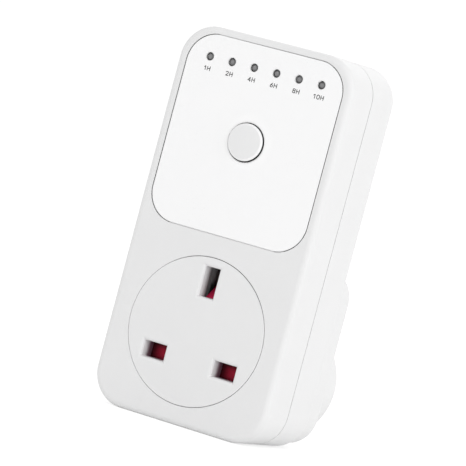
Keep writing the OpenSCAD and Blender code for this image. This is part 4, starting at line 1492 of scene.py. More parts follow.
    def lens(self, index: int, hour: int) -> None:
        """Turns one indicator's lens, with its collar and leads.

        Args:
            index: Its place in the row.
            hour: The hour that it stands for.
        """
        x = indicator_x(index)
        r = self.lens_r
        foot = self.lens_top - self.lens_l
        collar_r, collar_top = r + self.collar[0], foot + self.collar[1]
        profile = [
            (0.0, foot), (collar_r, foot), (collar_r, collar_top), (r, collar_top),
            *arc((0.0, self.lens_top - r), r, 0, 90, 12),
        ]
        form = Form()
        form.lathe(profile, (x, ROW, 0.0), steps=48)
        lens = SmokedLens(f"smoked_lens_{hour}h", (x, ROW), r).build()
        form.finish(f"lens_{hour}h", lens, "lens_grey", [f"led_{hour}h"])
        leads = Form()
        size = (self.lead_w, self.lead_w, foot - LEAD_FOOT)
        for side in (-1, 1):
            leads.block(size, (x + side * LEAD_X, ROW, (foot + LEAD_FOOT) / 2), 0.06, 2)
        leads.finish(f"lens_leads_{hour}h", Finish.SOLDER, "spring_steel")

    def label(self, index: int, hour: int) -> None:
        """Prints the hour under its indicator.

        Args:
            index: Its place in the row.
            hour: The hour that is printed.
        """
        text = f"{hour}H"
        gap = self.letter_gap
        letters = sum(self.GLYPHS[letter][0] * self.letter_w for letter in text)
        pen = -(letters + gap * (len(text) - 1)) / 2
        form = Form()
        for letter in text:
            advance, strokes = self.GLYPHS[letter]
            for stroke in strokes:
                self.ink(form, index, [(pen + u * self.letter_w, v - 0.5) for u, v in stroke])
            pen += advance * self.letter_w + gap
        form.finish(f"hour_label_{hour}h", Finish.INK, "lens_grey")

    def ink(self, form: Form, index: int, stroke: Sequence[Pair]) -> None:
        """Lays one pen stroke on the panel.

        Args:
            form: The mesh to add it to.
            index: The indicator's place in the row.
            stroke: Its points, in label heights from the label's middle.
        """
        left = indicator_x(index) - self.label_shift
        middle = Vector((left, ROW - self.label_drop, self.face))
        lift = Vector((0, 0, self.ink_h / 2))
        points = [middle + Vector((u, v, 0)) * self.label_h for u, v in stroke]
        for first, last in zip(points, points[1:]):
            step = last - first
            size = (step.length, self.stroke, self.ink_h)
            turn = math.degrees(math.atan2(step.y, step.x))
            form.block(size, (first + last) / 2 + lift, turn=turn)
        for point in points:
            bmesh.ops.create_cone(
                form.mesh, cap_ends=True, segments=10, radius1=self.stroke / 2,
                radius2=self.stroke / 2, depth=self.ink_h * 0.98,
                matrix=Matrix.Translation(point + lift),
            )


@dataclass
class Socket:
    """The shutter behind the socket face, its spring and the contacts.

    Attributes:
        disc: Centre of the socket face.
        disc_r: Its radius.
        rim_shift: How far its rim bead stands off centre.
        face: Height of the socket face above the plug face.
        spring_foot: Start of the spring's axis.
        spring_l: Length of the spring.
        coil_r: Distance of the spring's wire from its axis.
        wire_r: Radius of the spring's wire.
        turns: Turns of the spring between its closed ends.
        closed: Length of each closed turn.
        rim: Inner and outer radius of the rim bead against the face's.
        rim_depth: Depths of the bead's foot and of its foot's chamfer below the face.
        rim_round: Radius of the bead's upper edge.
        rim_low: How far the bead lies below the face.
    """

    disc: Pair = DISC
    disc_r: float = 20.7
    rim_shift: Point = (-0.045, 0.012, 0.0)
    rim: Pair = (-0.25, 0.055)
    rim_depth: Pair = (0.9, 0.8)
    rim_round: float = 0.06
    rim_low: float = 0.005
    face: float = FACE
    spring_foot: Point = (0.0, -13.775, 36.4)
    spring_l: float = 10.55
    coil_r: float = 1.475
    wire_r: float = 0.225
    turns: float = 6.0
    closed: float = 0.46

    def build(self) -> None:
        """Dresses the socket's working parts and winds the spring."""
        dress("safety_shutter", Finish.SHUTTER)
        dress("contact_carrier", Finish.CARRIER)
        for node in ("line_contact", "neutral_contact", "earth_contact"):
            dress(node, Finish.BRASS)
        self.rim_bead()
        self.spring()

    def rim_bead(self) -> None:
        """Turns the bead of flash round the socket face, which narrows the gap on one side."""
        form = Form()
        inner, outer = (self.disc_r + step for step in self.rim)
        foot, chamfer = self.rim_depth
        edge = self.rim_round
        at = Vector((*self.disc, self.face)) + Vector(self.rim_shift)
        profile = [
            (inner, -foot), (outer - 0.05, -foot), (outer, -chamfer),
            *arc((outer - edge, -edge - self.rim_low), edge, 0, 90, 4),
            (inner, -self.rim_low), (inner, -foot),
        ]
        form.lathe(profile, tuple(at), steps=160)
        form.finish("socket_rim_bead", Finish.SOCKET, "socket_white")

    def spring(self) -> None:
        """Winds the return spring, with a closed turn at each end."""
        form = Form()
        x, y, z = self.spring_foot
        closed = self.closed
        for start, length, turns in (
            (y, closed, 1.0), (y + closed, self.spring_l - 2 * closed, self.turns),
            (y + self.spring_l - closed, closed, 1.0),
        ):
            form.coil((x, start, z), (0, 1, 0), self.coil_r, self.wire_r, length, turns, 10)
        piece = form.finish("return_spring", Finish.STEEL, "spring_steel", ["shutter_spring"])
        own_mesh(piece)


@dataclass
class PlugPins:
    """The three pins with their sleeves and straps.

    Attributes:
        pitch: Distance from the line pin to the neutral pin, and up to the earth pin.
        section: Width and height of the line and neutral pins.
        earth_section: Width and height of the earth pin.
        length: Length of the line and neutral pins beyond the plug face.
        earth_length: Length of the earth pin.
        bevel: Length and depth of the bevel at a tip.
        sleeve: Length and thickness of the sleeves.
        sleeve_top: Where a sleeve ends inside the plug base.
        root: Height of the flange on a pin's root.
        rivet: Radius and height of the rivet stem, and of its head.
        flange: How much wider than the pin the flange is, and its thickness.
        edge: Radius of a bar's edges.
        sleeve_edge: Radius of a sleeve's upright edges.
        overlap: How far a sleeved pin's core reaches into its tip.
    """

    pitch: float = PIN_PITCH
    section: Pair = (6.35, 3.97)
    earth_section: Pair = (3.97, 7.97)
    length: float = 17.7
    earth_length: float = 22.73
    bevel: Pair = (2.0, 0.9)
    sleeve: Pair = (9.5, 0.45)
    sleeve_top: float = 2.2
    root: float = 6.0
    rivet: tuple[float, float, float, float] = (1.3, 8.0, 1.9, 0.8)
    flange: Pair = (1.6, 1.0)
    edge: float = 0.28
    sleeve_edge: float = 0.3
    overlap: float = 0.5

    def build(self) -> None:
        """Makes the pins and sleeves, and dresses the straps."""
        for node in ("line_terminal", "neutral_strap", "earth_strap"):
            dress(node, Finish.BRASS)
        for name, x in (("line", self.pitch / 2), ("neutral", -self.pitch / 2)):
            self.sleeved_pin(name, x)
            self.sleeve_tube(name, x)
        form = Form()
        self.bar(form, self.earth_section, (0.0, self.pitch), self.root, self.earth_length)
        self.root_rivet(form, self.earth_section, (0.0, self.pitch))
        form.finish("earth_pin_bar", Finish.PIN_BRASS, "brass", ["earth_pin"], crisp=True)

    def bar(self, form: Form, section: Pair, at: Pair, top: float, length: float) -> None:
        """Draws a pin's bar down to its bevelled tip, with softened edges.

        Args:
            form: The mesh to add it to.
            section: The bar's width and height.
            at: Its place on the plug face.
            top: Its upper end.
            length: How far it reaches beyond the plug face.
        """
        tip_l, tip_t = self.bevel
        shoulder = tip_l - length
        verts = form.block((*section, top - shoulder), (*at, (top + shoulder) / 2))
        scale = tuple(1 - 2 * tip_t / side for side in section)
        tip = form.draw_out(form.end_face(verts), -tip_l, scale)
        form.soften(edges_of((*verts, *tip.verts)), self.edge, 3)

    def root_rivet(self, form: Form, section: Pair, at: Pair) -> None:
        """Adds the flange, the stem and the rivet head on a pin's root.

        Args:
            form: The mesh to add them to.
            section: The pin's width and height.
            at: Its place on the plug face.
        """
        stem_r, stem_top, head_r, head_h = self.rivet
        wider, thick = self.flange
        size = (section[0] + wider, section[1] + wider, thick)
        form.block(size, (*at, self.root + thick / 2), 0.15, 2)
        stem_end = stem_top + 0.1
        stem = [(0, self.root), (stem_r, self.root), (stem_r, stem_end), (0, stem_end)]
        form.lathe(stem, (*at, 0.0), steps=32)
        dome = arc((0, stem_top), 1.0, 0, 90, 8)
        head = [(head_r * r, stem_top + head_h * (h - stem_top)) for r, h in dome]
        form.lathe([(0, stem_top), *head], (*at, 0.0), steps=40)

    def sleeved_pin(self, name: str, x: float) -> None:
        """Makes a line or neutral pin: a full tip below its sleeve and a slimmer core inside it.

        Args:
            name: The pin's name.
            x: Its sideways place.
        """
        sleeve_l, sleeve_t = self.sleeve
        low = -sleeve_l - self.overlap
        form = Form()
        self.bar(form, self.section, (x, 0.0), -sleeve_l, self.length)
        core = tuple(side - 2 * sleeve_t for side in self.section)
        form.block((*core, self.root - low), (x, 0.0, (self.root + low) / 2))
        self.root_rivet(form, self.section, (x, 0.0))
        form.finish(f"{name}_pin_bar", Finish.PIN_BRASS, "brass", [f"{name}_pin"], crisp=True)

    def sleeve_tube(self, name: str, x: float) -> None:
        """Makes a sleeve as a rounded tube of even thickness.

        Args:
            name: The pin's name.
            x: Its sideways place.
        """
        sleeve_l, sleeve_t = self.sleeve
        form = Form()
        size = (*self.section, sleeve_l + self.sleeve_top)
        verts = form.block(size, (x, 0.0, (self.sleeve_top - sleeve_l) / 2))
        ends = [form.end_face(verts), form.end_face(verts, low=False)]
        bmesh.ops.delete(form.mesh, geom=ends, context="FACES_ONLY")
        upright = [
            edge for edge in form.mesh.edges
            if abs(edge.verts[0].co.z - edge.verts[1].co.z) > sleeve_t
        ]
        form.soften(upright, self.sleeve_edge, 4)
        bmesh.ops.recalc_face_normals(form.mesh, faces=form.mesh.faces)
        bmesh.ops.solidify(form.mesh, geom=form.mesh.faces[:], thickness=sleeve_t)
        form.finish(
            f"{name}_sleeve_tube", Finish.SLEEVE, "sleeve_black", [f"{name}_pin_sleeve"],
            crisp=True,
        )


@dataclass
class ControlBoard:
    """The board with its components and solder joints. Components stand on its back.

    Attributes:
        front: Height of the board's front above the plug face.
        back: Height of its back.
        relay: Centre of the relay.
        relay_size: Width and height of the relay, and the height of its two ends.
        relay_vent: The vent's place from the relay's centre.
        relay_pins: The pins' places from the relay's centre.
        film: Centre of the film capacitor.
        film_size: Its width, height and depth.
        film_foot: How much smaller its potted foot is, and the foot's thickness.
        film_leads: Distance of its leads from its centre, as a share of its width.
        can: Centre of the electrolytic capacitor.
        can_size: Its radius and length.
        can_leads: Distance of its leads from its centre, as a share of its radius.
        varistor: Centre of the varistor on the board.
        varistor_size: Its radius and thickness.
        varistor_leads: Distance of its leads from its centre, as a share of its radius.
        resistor: Centre of the fusible resistor.
        resistor_size: Its radius and length.
        diodes: Sideways place of each diode.
        diode_y: Their height up the body.
        diode_size: Radius and length of a diode.
        chip: Centre of the microcontroller.
        chip_size: Its width, height and thickness.
        leg_pitch: Spacing of its legs.
        resistor_row: Height of the chip resistors up the body, and their width, height and depth.
        cover: Heights of the switch cover's faces and of its studs.
        cover_studs: Distance of the studs from the button's axis, each way.
        wire_pads: Where the wires end.
        outlines: Width and height of the outlines of the relay, film capacitor, can, varistor,
            resistor and diodes.
        print_size: Width and thickness of the print's lines.
        lead_r: Radius of the leads.
        stand_off: Gap under the upright components.
        cone: Radius and height of the points of a solder joint.
        small_cone: The same of a joint behind the indicators.
        neck: The same of the lacquer that runs down a varistor's lead.
        bone: The same of the resistor's end, with its radius as a share of the body's.
        dot: The same of the mark on the microcontroller.
    """

    front: float = 35.8
    back: float = 34.2
    relay: Pair = (-13.7, 54.0)
    relay_size: tuple[float, float, float, float] = (15.6, 19.0, 32.6, 18.9)
    relay_vent: Pair = (-4.5, -6.2)
    relay_pins: tuple[Pair, ...] = ((0, 7.6), (-6, 5.2), (6, 5.2), (-6, -7), (6, -7))
    film: Pair = (9.1, 44.5)
    film_size: Point = (17.5, 8.0, 14.0)
    film_foot: Pair = (2.2, 0.3)
    film_leads: float = 0.43
    can: Pair = (16.65, 56.5)
    can_size: Pair = (4.0, 12.0)
    can_leads: float = 0.44
    varistor: Pair = (0.0, 56.5)
    varistor_size: Pair = (3.75, 3.225)
    varistor_leads: float = 0.67
    resistor: Pair = (7.5, 56.5)
    resistor_size: Pair = (1.5, 8.0)
    diodes: tuple[float, ...] = (2.7, 7.2, 11.7, 16.2)
    diode_y: float = 70.5
    diode_size: Pair = (1.3, 4.6)
    chip: Pair = (-11.85, 72.45)
    chip_size: Point = (8.7, 3.9, 1.4)
    leg_pitch: float = 1.27
    resistor_row: tuple[float, Point] = (78.67, (0.78, 1.7, 0.467))
    cover: Point = (39.32, 39.44, 39.6)
    cover_studs: float = 2.3
    wire_pads: tuple[Pair, ...] = ((16.5, 38.5), (-16.5, 38.5), (11.25, 38.1))
    outlines: tuple[Pair, ...] = (
        (16.4, 19.8), (18.3, 8.8), (8.8, 8.8), (4.0, 8.4), (3.8, 8.8), (17.4, 5.6),
    )
    print_size: Pair = (0.16, 0.02)
    lead_r: float = 0.35
    stand_off: float = 0.5
    cone: Profile = (
        (1.05, 0.0), (1.0, 0.05), (0.7, 0.22), (0.5, 0.5), (0.42, 0.75), (0.0, 0.9),
    )
    small_cone: Profile = (
        (0.6, 0.0), (0.55, 0.05), (0.42, 0.25), (0.34, 0.6), (0.0, 0.75),
    )
    neck: Profile = ((0.95, -1.6), (0.8, -0.7), (0.5, 0.1), (0.35, 0.6), (0.0, 0.6))
    bone: Profile = (
        (0.0, 0.0), (0.6, 0.05), (0.95, 0.5), (1.0, 1.1), (0.97, 1.8), (0.86, 2.4),
    )
    dot: Profile = (
        (0.0, 0.03), (0.42, 0.03), (0.5, -0.02), (0.42, -0.05), (0.3, -0.02), (0.0, -0.02),
    )

    def build(self) -> None:
        """Dresses the board and makes what is on it."""
        dress("control_board", Finish.MASK)
        for node in ("relay_base", "switch_body", "switch_plunger"):
            dress(node, Finish.BLACK)
        self.relay_case()
        self.film_capacitor()
        self.electrolytic_capacitor()
        self.dipped_varistor()
        self.axial_parts()
        self.microcontroller()
        self.chip_resistors()
        self.switch_cover()
        self.solder_joints()
        self.board_print()

    def relay_case(self) -> None:
        """Moulds the relay's case, with a shallow recess on its back and a sealed vent."""
        width, height, low, high = self.relay_size
        form = Form()
        verts = form.block((width, height, low - high), (*self.relay, (low + high) / 2))
        edges = edges_of(verts)
        top = form.end_face(verts)
        for thickness, depth in ((1.5, 0.0), (0.3, -0.25)):
            bmesh.ops.inset_region(
                form.mesh, faces=[top], thickness=thickness, depth=depth, use_even_offset=True
            )
        form.soften([edge for edge in edges if edge.is_valid], 0.6, 4)
        vent = (self.relay[0] + self.relay_vent[0], self.relay[1] + self.relay_vent[1], high)
        form.lathe(rounded_can(0.9, -0.35, 0.5, 0.2), vent, steps=24)
        form.finish("relay_housing", Finish.RELAY, "relay_blue", ["relay_case"], crisp=True)

    def film_capacitor(self) -> None:
        """Moulds the film capacitor's box, with a potted foot and two leads."""
        width, height, depth = self.film_size
        less, thick = self.film_foot
        x, y = self.film
        foot = self.back - self.stand_off
        form = Form()
        form.block((width, height, depth), (x, y, foot - depth / 2), 0.7, 4)
        form.block((width - less, height - less, thick), (x, y, foot + 0.05), 0.1, 2)
        form.finish(
            "film_capacitor_box", Finish.FILM, "film_yellow", ["film_capacitor"], crisp=True
        )
        self.leads("film_capacitor_leads", self.film_spots(), foot)

    def film_spots(self) -> list[Pair]:
        """Gives the places of the film capacitor's leads."""
        return either_side(self.film, across=self.film_size[0] * self.film_leads)

    def can_spots(self) -> list[Pair]:
        """Gives the places of the electrolytic capacitor's leads."""
        return either_side(self.can, across=self.can_size[0] * self.can_leads)

    def varistor_spots(self) -> list[Pair]:
        """Gives the places of the varistor's leads."""
        return either_side(self.varistor, up=self.varistor_size[0] * self.varistor_leads)

    def leads(self, name: str, spots: Iterable[Pair], low: float) -> None:
        """Adds straight leads from a component's foot, through the board.

        Args:
            name: The piece's name.
            spots: Each lead's place.
            low: Height of the component's foot.
        """
        form = Form()
        for x, y in spots:
            ends = [Vector((x, y, low - 0.2)), Vector((x, y, self.front + 0.5))]
            form.sweep(ends, self.lead_r, 12)
        form.finish(name, Finish.SOLDER, "spring_steel")

    def electrolytic_capacitor(self) -> None:
        """Turns the electrolytic capacitor: a crimped sleeve, a bare end and two leads."""
        radius, length = self.can_size
        x, y = self.can
        foot = self.back - self.stand_off
        end = foot - length
        crimp = foot - length * 0.18
        form = Form()
        edge = 0.55
        profile = [
            (radius - 1.0, end), (radius - edge, end),
            *arc((radius - edge, end + edge), edge, -90, 0, 5),
            (radius, crimp - 0.8), (radius - 0.18, crimp - 0.5), (radius - 0.38, crimp),
            (radius - 0.18, crimp + 0.5), (radius, crimp + 0.8), (radius, foot - 0.5),
            *arc((radius - 0.5, foot - 0.5), 0.5, 0, 90, 5), (0.0, foot),
        ]
        form.lathe(profile, (x, y, 0.0), steps=64)
        form.finish("can_wrap", Finish.CAN, "component_black", ["electrolytic_capacitor"])
        cap = Form()
        disc = [
            (0.0, end + 0.12), (radius - 1.1, end + 0.12), (radius - 0.95, end + 0.02),
            (radius - 0.9, end + 0.5), (0.0, end + 0.5),
        ]
        cap.lathe(disc, (x, y, 0.0), steps=64)
        cap.finish("can_end", Finish.ALUMINIUM, "spring_steel")
        vent = Form()
        for turn in (30, 90, 150):
            vent.block((2 * radius - 3.0, 0.16, 0.03), (x, y, end + 0.115), 0.01, 1, turn)
        vent.finish("can_vent", Finish.BLACK, "component_black")
        self.leads("can_leads", self.can_spots(), foot)

    def dipped_varistor(self) -> None:
        """Dips the varistor: a lens-shaped disc with lacquer run down its leads."""
        radius, thick = self.varistor_size
        x, y = self.varistor
        middle = self.back - radius - 2 * self.stand_off
        form = Form()
        half = thick / 2
        profile = [
            (0.0, -half), (radius * 0.5, -half * 0.98), (radius * 0.8, -half * 0.9),
            *arc((radius - 0.75, 0.0), 0.75, -70, 70, 8), (radius * 0.8, half * 0.9),
            (radius * 0.5, half * 0.98), (0.0, half),
        ]
        form.lathe(profile, (x, y, middle), (1, 0, 0), 64)
        for spot in self.varistor_spots():
            form.lathe(self.neck, (*spot, middle + radius * 0.85), steps=24)
        form.finish("varistor_disc", Finish.VARISTOR, "varistor_blue", ["varistor"])
        self.leads("varistor_leads", self.varistor_spots(), middle + radius * 0.9)

    def axial_parts(self) -> None:
        """Turns the banded resistor and the four diodes, and bends their leads down."""
        radius, length = self.resistor_size
        x, y = self.resistor
        height = self.back - radius - self.stand_off / 2
        form = Form()
        bone = [(radius * share, along) for share, along in self.bone]
        bone += [(across, length - along) for across, along in bone[::-1]]
        form.lathe(bone, (x, y - length / 2, height), (0, 1, 0), 40)
        form.finish("resistor_bone", Finish.RESISTOR, "resistor_brown", ["fusible_resistor"])
        leads = Form()
        self.bent_lead(leads, x, y, height, length)
        leads.finish("resistor_leads", Finish.SOLDER, "spring_steel")
        radius, length = self.diode_size
        height = self.back - radius - self.stand_off / 2
        bodies = Form()
        wires = Form()
        for x in self.diodes:
            bodies.lathe(rounded_can(radius, 0.0, length, radius / 4),
                         (x, self.diode_y - length / 2, height), (0, 1, 0), 32)
            self.bent_lead(wires, x, self.diode_y, height, length)
        bodies.finish("diode_bodies", Finish.DIODE, "component_black", ["rectifier_diodes"])
        wires.finish("diode_leads", Finish.SOLDER, "spring_steel")

    def bent_lead(self, form: Form, x: float, y: float, height: float, length: float) -> None:
        """Bends one lead from end to end of an axial part, down through the board at both ends.

        Args:
            form: The mesh to add it to.
            x: Sideways place of the part.
            y: Its middle up the body.
            height: Height of its axis above the plug face.
            length: Length of its body.
        """
        reach = length / 2 + 4 * self.lead_r
        bend = 0.8
        end = self.front + 0.5
        side = [
            (reach, end), (reach, height + bend), (reach - bend * 0.3, height + bend * 0.3),
            (reach - bend, height),
        ]
        path = [(-u, v) for u, v in side] + side[::-1]
        form.sweep([Vector((x, y + u, v)) for u, v in path], self.lead_r, 12)

    def microcontroller(self) -> None:
        """Moulds the microcontroller's package with its mark dot, and forms its legs."""
        width, height, thick = self.chip_size
        x, y = self.chip
        low = self.back - thick / 5
        form = Form()
        verts = form.block((width, height, thick / 2), (x, y, low - thick / 4))
        tip = form.draw_out(form.end_face(verts), -thick / 2, (0.97, 0.93))
        form.soften(edges_of((*verts, *tip.verts)), 0.08, 2)
        form.lathe(self.dot, (x - width / 2 + 1.0, y + height / 2 - 0.9, low - thick), steps=24)
        form.finish(
            "controller_package", Finish.BLACK, "component_black", ["microcontroller"], crisp=True
        )
        legs = Form()
        leg = [
            (0.0, low - 0.5), (0.35, low - 0.5), (0.5, low - 0.35), (0.6, self.back - 0.28),
            (0.75, self.back - 0.14), (1.15, self.back - 0.14),
        ]
        for k in range(-3, 4):
            for side in (-1, 1):
                across = x + k * self.leg_pitch
                path = [Vector((across, y + side * (height / 2 + u), v)) for u, v in leg]
                legs.sweep(path, 0.2, 4)
        legs.finish("controller_legs", Finish.SOLDER, "spring_steel")

    def chip_resistors(self) -> None:
        """Sets the row of chip resistors, one for each indicator."""
        form = Form()
        y, size = self.resistor_row
        for index in range(len(HOURS)):
            form.block(size, (indicator_x(index), y, self.back - size[2] / 2), 0.05, 2)
        form.finish(
            "chip_resistor_row", Finish.CHIP, "component_black", ["smd_resistors"], crisp=True
        )

    def switch_cover(self) -> None:
        """Folds the steel cover over the push switch, held by four studs."""
        form = Form()
        x, y = BUTTON
        low, high, stud = self.cover
        plate = [(2.0, low), (2.9, low), (2.9, high), (2.0, high), (2.0, low)]
        form.lathe(plate, (x, y, 0.0), steps=48)
        studs = [(0.42, high), (0.4, stud - 0.04), (0.25, stud), (0.0, stud)]
        for side in (-1, 1):
            strap = (x, y + side * 2.4, (low + high) / 2)
            form.block((5.7, 0.9, high - low), strap, 0.04, 2)
            for spot in either_side((x, y + side * self.cover_studs), across=self.cover_studs):
                form.lathe(studs, (*spot, 0.0), steps=20)
        form.finish("switch_cover", Finish.STEEL, "spring_steel")

    def joints(self) -> list[Pair]:
        """Finds the places where leads come through the board's front.

        Returns:
            Each place, sideways and up the body.
        """
        spots = self.film_spots() + self.can_spots() + self.varistor_spots()
        spots += either_side(self.resistor, up=self.resistor_size[1] / 2 + 4 * self.lead_r)
        for x in self.diodes:
            up = self.diode_size[1] / 2 + 4 * self.lead_r
            spots += either_side((x, self.diode_y), up=up)
        spots += [(self.relay[0] + u, self.relay[1] + v) for u, v in self.relay_pins]
        return spots + list(self.wire_pads)

    def solder_joints(self) -> None:
        """Adds solder round each lead on the board's front, and behind the indicators."""
        form = Form()
        for spot in self.joints():
            form.lathe(self.cone, (*spot, self.front - 0.01), steps=20)
        for index in range(len(HOURS)):
            for spot in either_side((indicator_x(index), ROW), across=LEAD_X):
                form.lathe(self.small_cone, (*spot, self.back + 0.01), (0, 0, -1), 16)
        form.finish("solder_joints", Finish.SOLDER, "spring_steel")

    def board_print(self) -> None:
        """Prints an outline round each component's place on the board's back."""
        form = Form()
        line, thick = self.print_size
        level = self.back - thick / 2
        diodes = (sum(self.diodes) / len(self.diodes), self.diode_y)
        places = (self.relay, self.film, self.can, self.varistor, self.resistor, diodes)
        for (x, y), (width, height) in zip(places, self.outlines):
            for side in (-1, 1):
                form.block((width, line, thick), (x, y + side * height / 2, level))
                form.block((line, height, thick), (x + side * width / 2, y, level))
        form.finish("board_outlines", Finish.SILK, "panel_white")


@dataclass
class Wires:
    """The insulated wires from the plug side up to the board.

    Attributes:
        radius: Radius of the insulation.
        core_r: Radius of the bare ends.
        bare: Length of the bare ends.
        supply: Points of the line wire's route, which the neutral wire mirrors.
        switched: Points of the switched wire's route.
        rise: The last straight rise to the board's back.
        through: How far a core reaches beyond that, through the board.
        bead: Radius and height of the points of the solder at a strap.
    """

    radius: float = 1.1
    core_r: float = 0.6
    bare: float = 0.9
    supply: tuple[Point, ...] = (
        (9.615, 4.8, 12.0), (14.615, 4.8, 12.1), (20.55, 7.8, 13.554), (22.05, 14.3, 16.995),
        (22.05, 23.8, 22.989), (20.45, 33.0, 29.205), (16.5, 38.5, 32.6),
    )
    switched: tuple[Point, ...] = (
        (9.915, 4.8, 16.6), (15.015, 5.0, 16.6), (19.45, 8.2, 17.48), (20.55, 15.2, 21.0),
        (19.45, 24.2, 26.016), (15.515, 31.5, 30.504), (11.25, 38.1, 32.6),
    )
    rise: float = 1.6
    through: float = 1.9
    bead: Profile = (
        (0.0, -0.2), (0.75, -0.1), (1.0, 0.35), (0.9, 0.9), (0.5, 1.25), (0.0, 1.35),
    )

    def build(self) -> None:
        """Makes the three wires and their joints."""
        mirrored = tuple((-x, y, z) for x, y, z in self.supply)
        self.wire("line_wire", self.supply, Finish.WIRE_BROWN, "wire_brown")
        self.wire("neutral_wire", mirrored, Finish.WIRE_BLUE, "wire_blue")
        self.wire("switched_wire", self.switched, Finish.WIRE_RED, "wire_red")
        self.strap_joints()

    def wire(self, node: str, points: Sequence[Point], finish: Finish, slot: str) -> None:
        """Makes one wire with a bare end at the board.

        Args:
            node: The CAD node that it stands for.
            points: Its route.
            finish: Its insulation's finish.
            slot: The record's material slot.
        """
        path = smooth_curve(points, 8)
        form = Form()
        form.sweep([*path, path[-1] + Vector((0, 0, self.rise - self.bare))], self.radius, 20)
        form.finish(f"{node}_insulation", finish, slot, [node], crease=50)
        core = Form()
        end = path[-1] + Vector((0, 0, self.rise + self.through))
        core.sweep([path[-1], end], self.core_r, 12)
        core.finish(f"{node}_core", Finish.SOLDER, "spring_steel")

    def strap_joints(self) -> None:
        """Adds a bead of solder where each wire starts at its strap."""
        form = Form()
        line = self.supply[0]
        for x, y, z in (line, (-line[0], *line[1:]), self.switched[0]):
            form.lathe(self.bead, (x, y - 1.3, z), (0, 1, 0), 24)
        form.finish("strap_joints", Finish.SOLDER, "spring_steel")


# ---- The studio ----


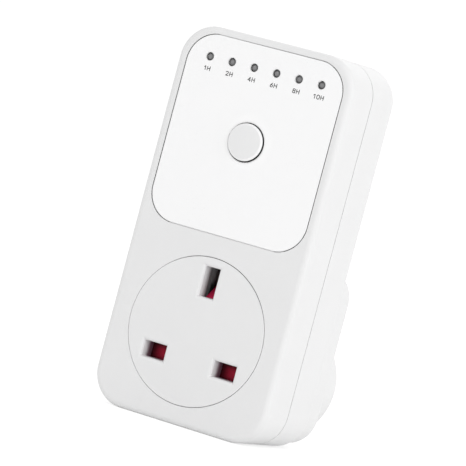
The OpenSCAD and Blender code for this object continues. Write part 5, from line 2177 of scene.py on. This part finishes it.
@dataclass
class Studio:
    """A pale floor, soft lamps and the camera.

    Attributes:
        stand: Where the camera stands, in metres.
        aim: A point that the middle of its view passes through.
        roll: How far it is rolled, in degrees.
        lens: Its focal length, in millimetres.
        sensor: Width of its sensor, in millimetres.
        clip: The nearest and farthest distance that it sees, in metres.
        floor_z: Height of the floor.
        ambient: Strength of the light from all around.
        backdrop: Strength of the white that is seen behind the object.
        lit: The point that the lamps face, in metres.
        lights: Each lamp's name, place and side in metres, and power in watts: a key from the
            right, a fill from the front and a rim from behind.
        floor_l: Half the floor's length, in metres.
        floor_glow: Strength of the floor's own white, as it is seen.
        floor_matt: How much light the seen floor gives back, which shows the shadow.
    """

    stand: Point = (0.423331, -0.892456, 0.06973)
    aim: Point = (0.003254, -0.0438, 0.0371)
    roll: float = 14.947
    lens: float = 268.154
    sensor: float = 36.0
    clip: Pair = (0.01, 50.0)
    floor_z: float = -0.018
    ambient: float = 0.82
    backdrop: float = 1.05
    lit: Point = (0.0, -0.03, 0.035)
    lights: tuple[tuple[str, Point, float, float], ...] = (
        ("key", (1.1, -0.35, 0.45), 0.9, 4.2),
        ("fill", (-0.5, -1.2, 0.8), 0.9, 1.7),
        ("rim", (-0.2, 1.0, 0.9), 0.8, 1.5),
    )
    floor_l: float = 6.0
    floor_glow: float = 0.70
    floor_matt: float = 0.45

    def build(self) -> None:
        """Sets up the camera, the lights, the floor and the world."""
        self.camera()
        for light in self.lights:
            self.lamp(*light)
        self.floor()
        self.world()
        bpy.context.scene.view_settings.view_transform = "Standard"

    def camera(self) -> None:
        """Places the camera."""
        data = bpy.data.cameras.new("camera")
        data.lens = self.lens
        data.sensor_width = self.sensor
        data.clip_start, data.clip_end = self.clip
        view = (Vector(self.aim) - Vector(self.stand)).to_track_quat("-Z", "Y").to_matrix()
        turn = view @ Matrix.Rotation(math.radians(self.roll), 3, "Z")
        camera = bpy.data.objects.new("camera", data)
        camera.matrix_world = Matrix.Translation(self.stand) @ turn.to_4x4()
        bpy.context.scene.collection.objects.link(camera)
        bpy.context.scene.camera = camera

    def lamp(self, name: str, at: Point, size: float, power: float) -> None:
        """Adds a soft square lamp.

        Args:
            name: Its name.
            at: Where it stands, in metres.
            size: Its side, in metres.
            power: Its power, in watts.
        """
        data = bpy.data.lights.new(name, "AREA")
        data.size = size
        data.energy = power
        lamp = bpy.data.objects.new(name, data)
        turn = (Vector(self.lit) - Vector(at)).to_track_quat("-Z", "Y").to_matrix().to_4x4()
        lamp.matrix_world = Matrix.Translation(at) @ turn
        bpy.context.scene.collection.objects.link(lamp)

    def floor(self) -> None:
        """Lays a pale floor that shows white to the camera and keeps the shadow."""
        data = bpy.data.meshes.new("floor")
        mesh = bmesh.new()
        matrix = Matrix.Translation((0, 0, self.floor_z))
        bmesh.ops.create_grid(
            mesh, x_segments=1, y_segments=1, size=self.floor_l, matrix=matrix
        )
        mesh.to_mesh(data)
        mesh.free()
        recipe = Recipe("pale_floor")
        tone = recipe.noise(3.0, 2.0)
        recipe.set(
            Base_Color=recipe.blend(tone, (0.90, 0.90, 0.90), (0.92, 0.92, 0.92)), Roughness=0.9
        )
        glow = recipe.node(
            "ShaderNodeEmission", None, {"Color": (1, 1, 1, 1), "Strength": self.floor_glow}
        )
        matt = recipe.node(
            "ShaderNodeBsdfDiffuse", None, {"Color": (*[self.floor_matt] * 3, 1.0)}
        )
        both = recipe.node("ShaderNodeAddShader", None, {0: glow.outputs[0], 1: matt.outputs[0]})
        mix = recipe.node(
            "ShaderNodeMixShader", None,
            {0: recipe.seen(), 1: recipe.shader.outputs[0], 2: both.outputs[0]},
        )
        recipe.join(mix.outputs[0], recipe.output.inputs["Surface"])
        data.materials.append(recipe.material)
        floor = bpy.data.objects.new("floor", data)
        bpy.context.scene.collection.objects.link(floor)

    def world(self) -> None:
        """Lights from all around, and shows white behind the object."""
        world = bpy.data.worlds.new("studio")
        world.use_nodes = True
        sky = Graph(world.node_tree)
        dim, white = (
            sky.node("ShaderNodeBackground", None, {0: (1, 1, 1, 1), 1: strength})
            for strength in (self.ambient, self.backdrop)
        )
        mix = sky.node(
            "ShaderNodeMixShader", None, {0: sky.seen(), 1: dim.outputs[0], 2: white.outputs[0]}
        )
        sky.node("ShaderNodeOutputWorld", None, {0: mix.outputs[0]})
        bpy.context.scene.world = world


def main() -> None:
    """Builds the timer's sub-assemblies in order and sets up the studio."""
    logging.basicConfig(level=logging.INFO, format="%(name)s: %(message)s")
    for assembly in (
        Studio(), Housing(), ControlPanel(), Socket(), PlugPins(), ControlBoard(), Wires()
    ):
        assembly.build()
        LOG.info("%s is done", type(assembly).__name__)


if __name__ == "__main__":
    main()
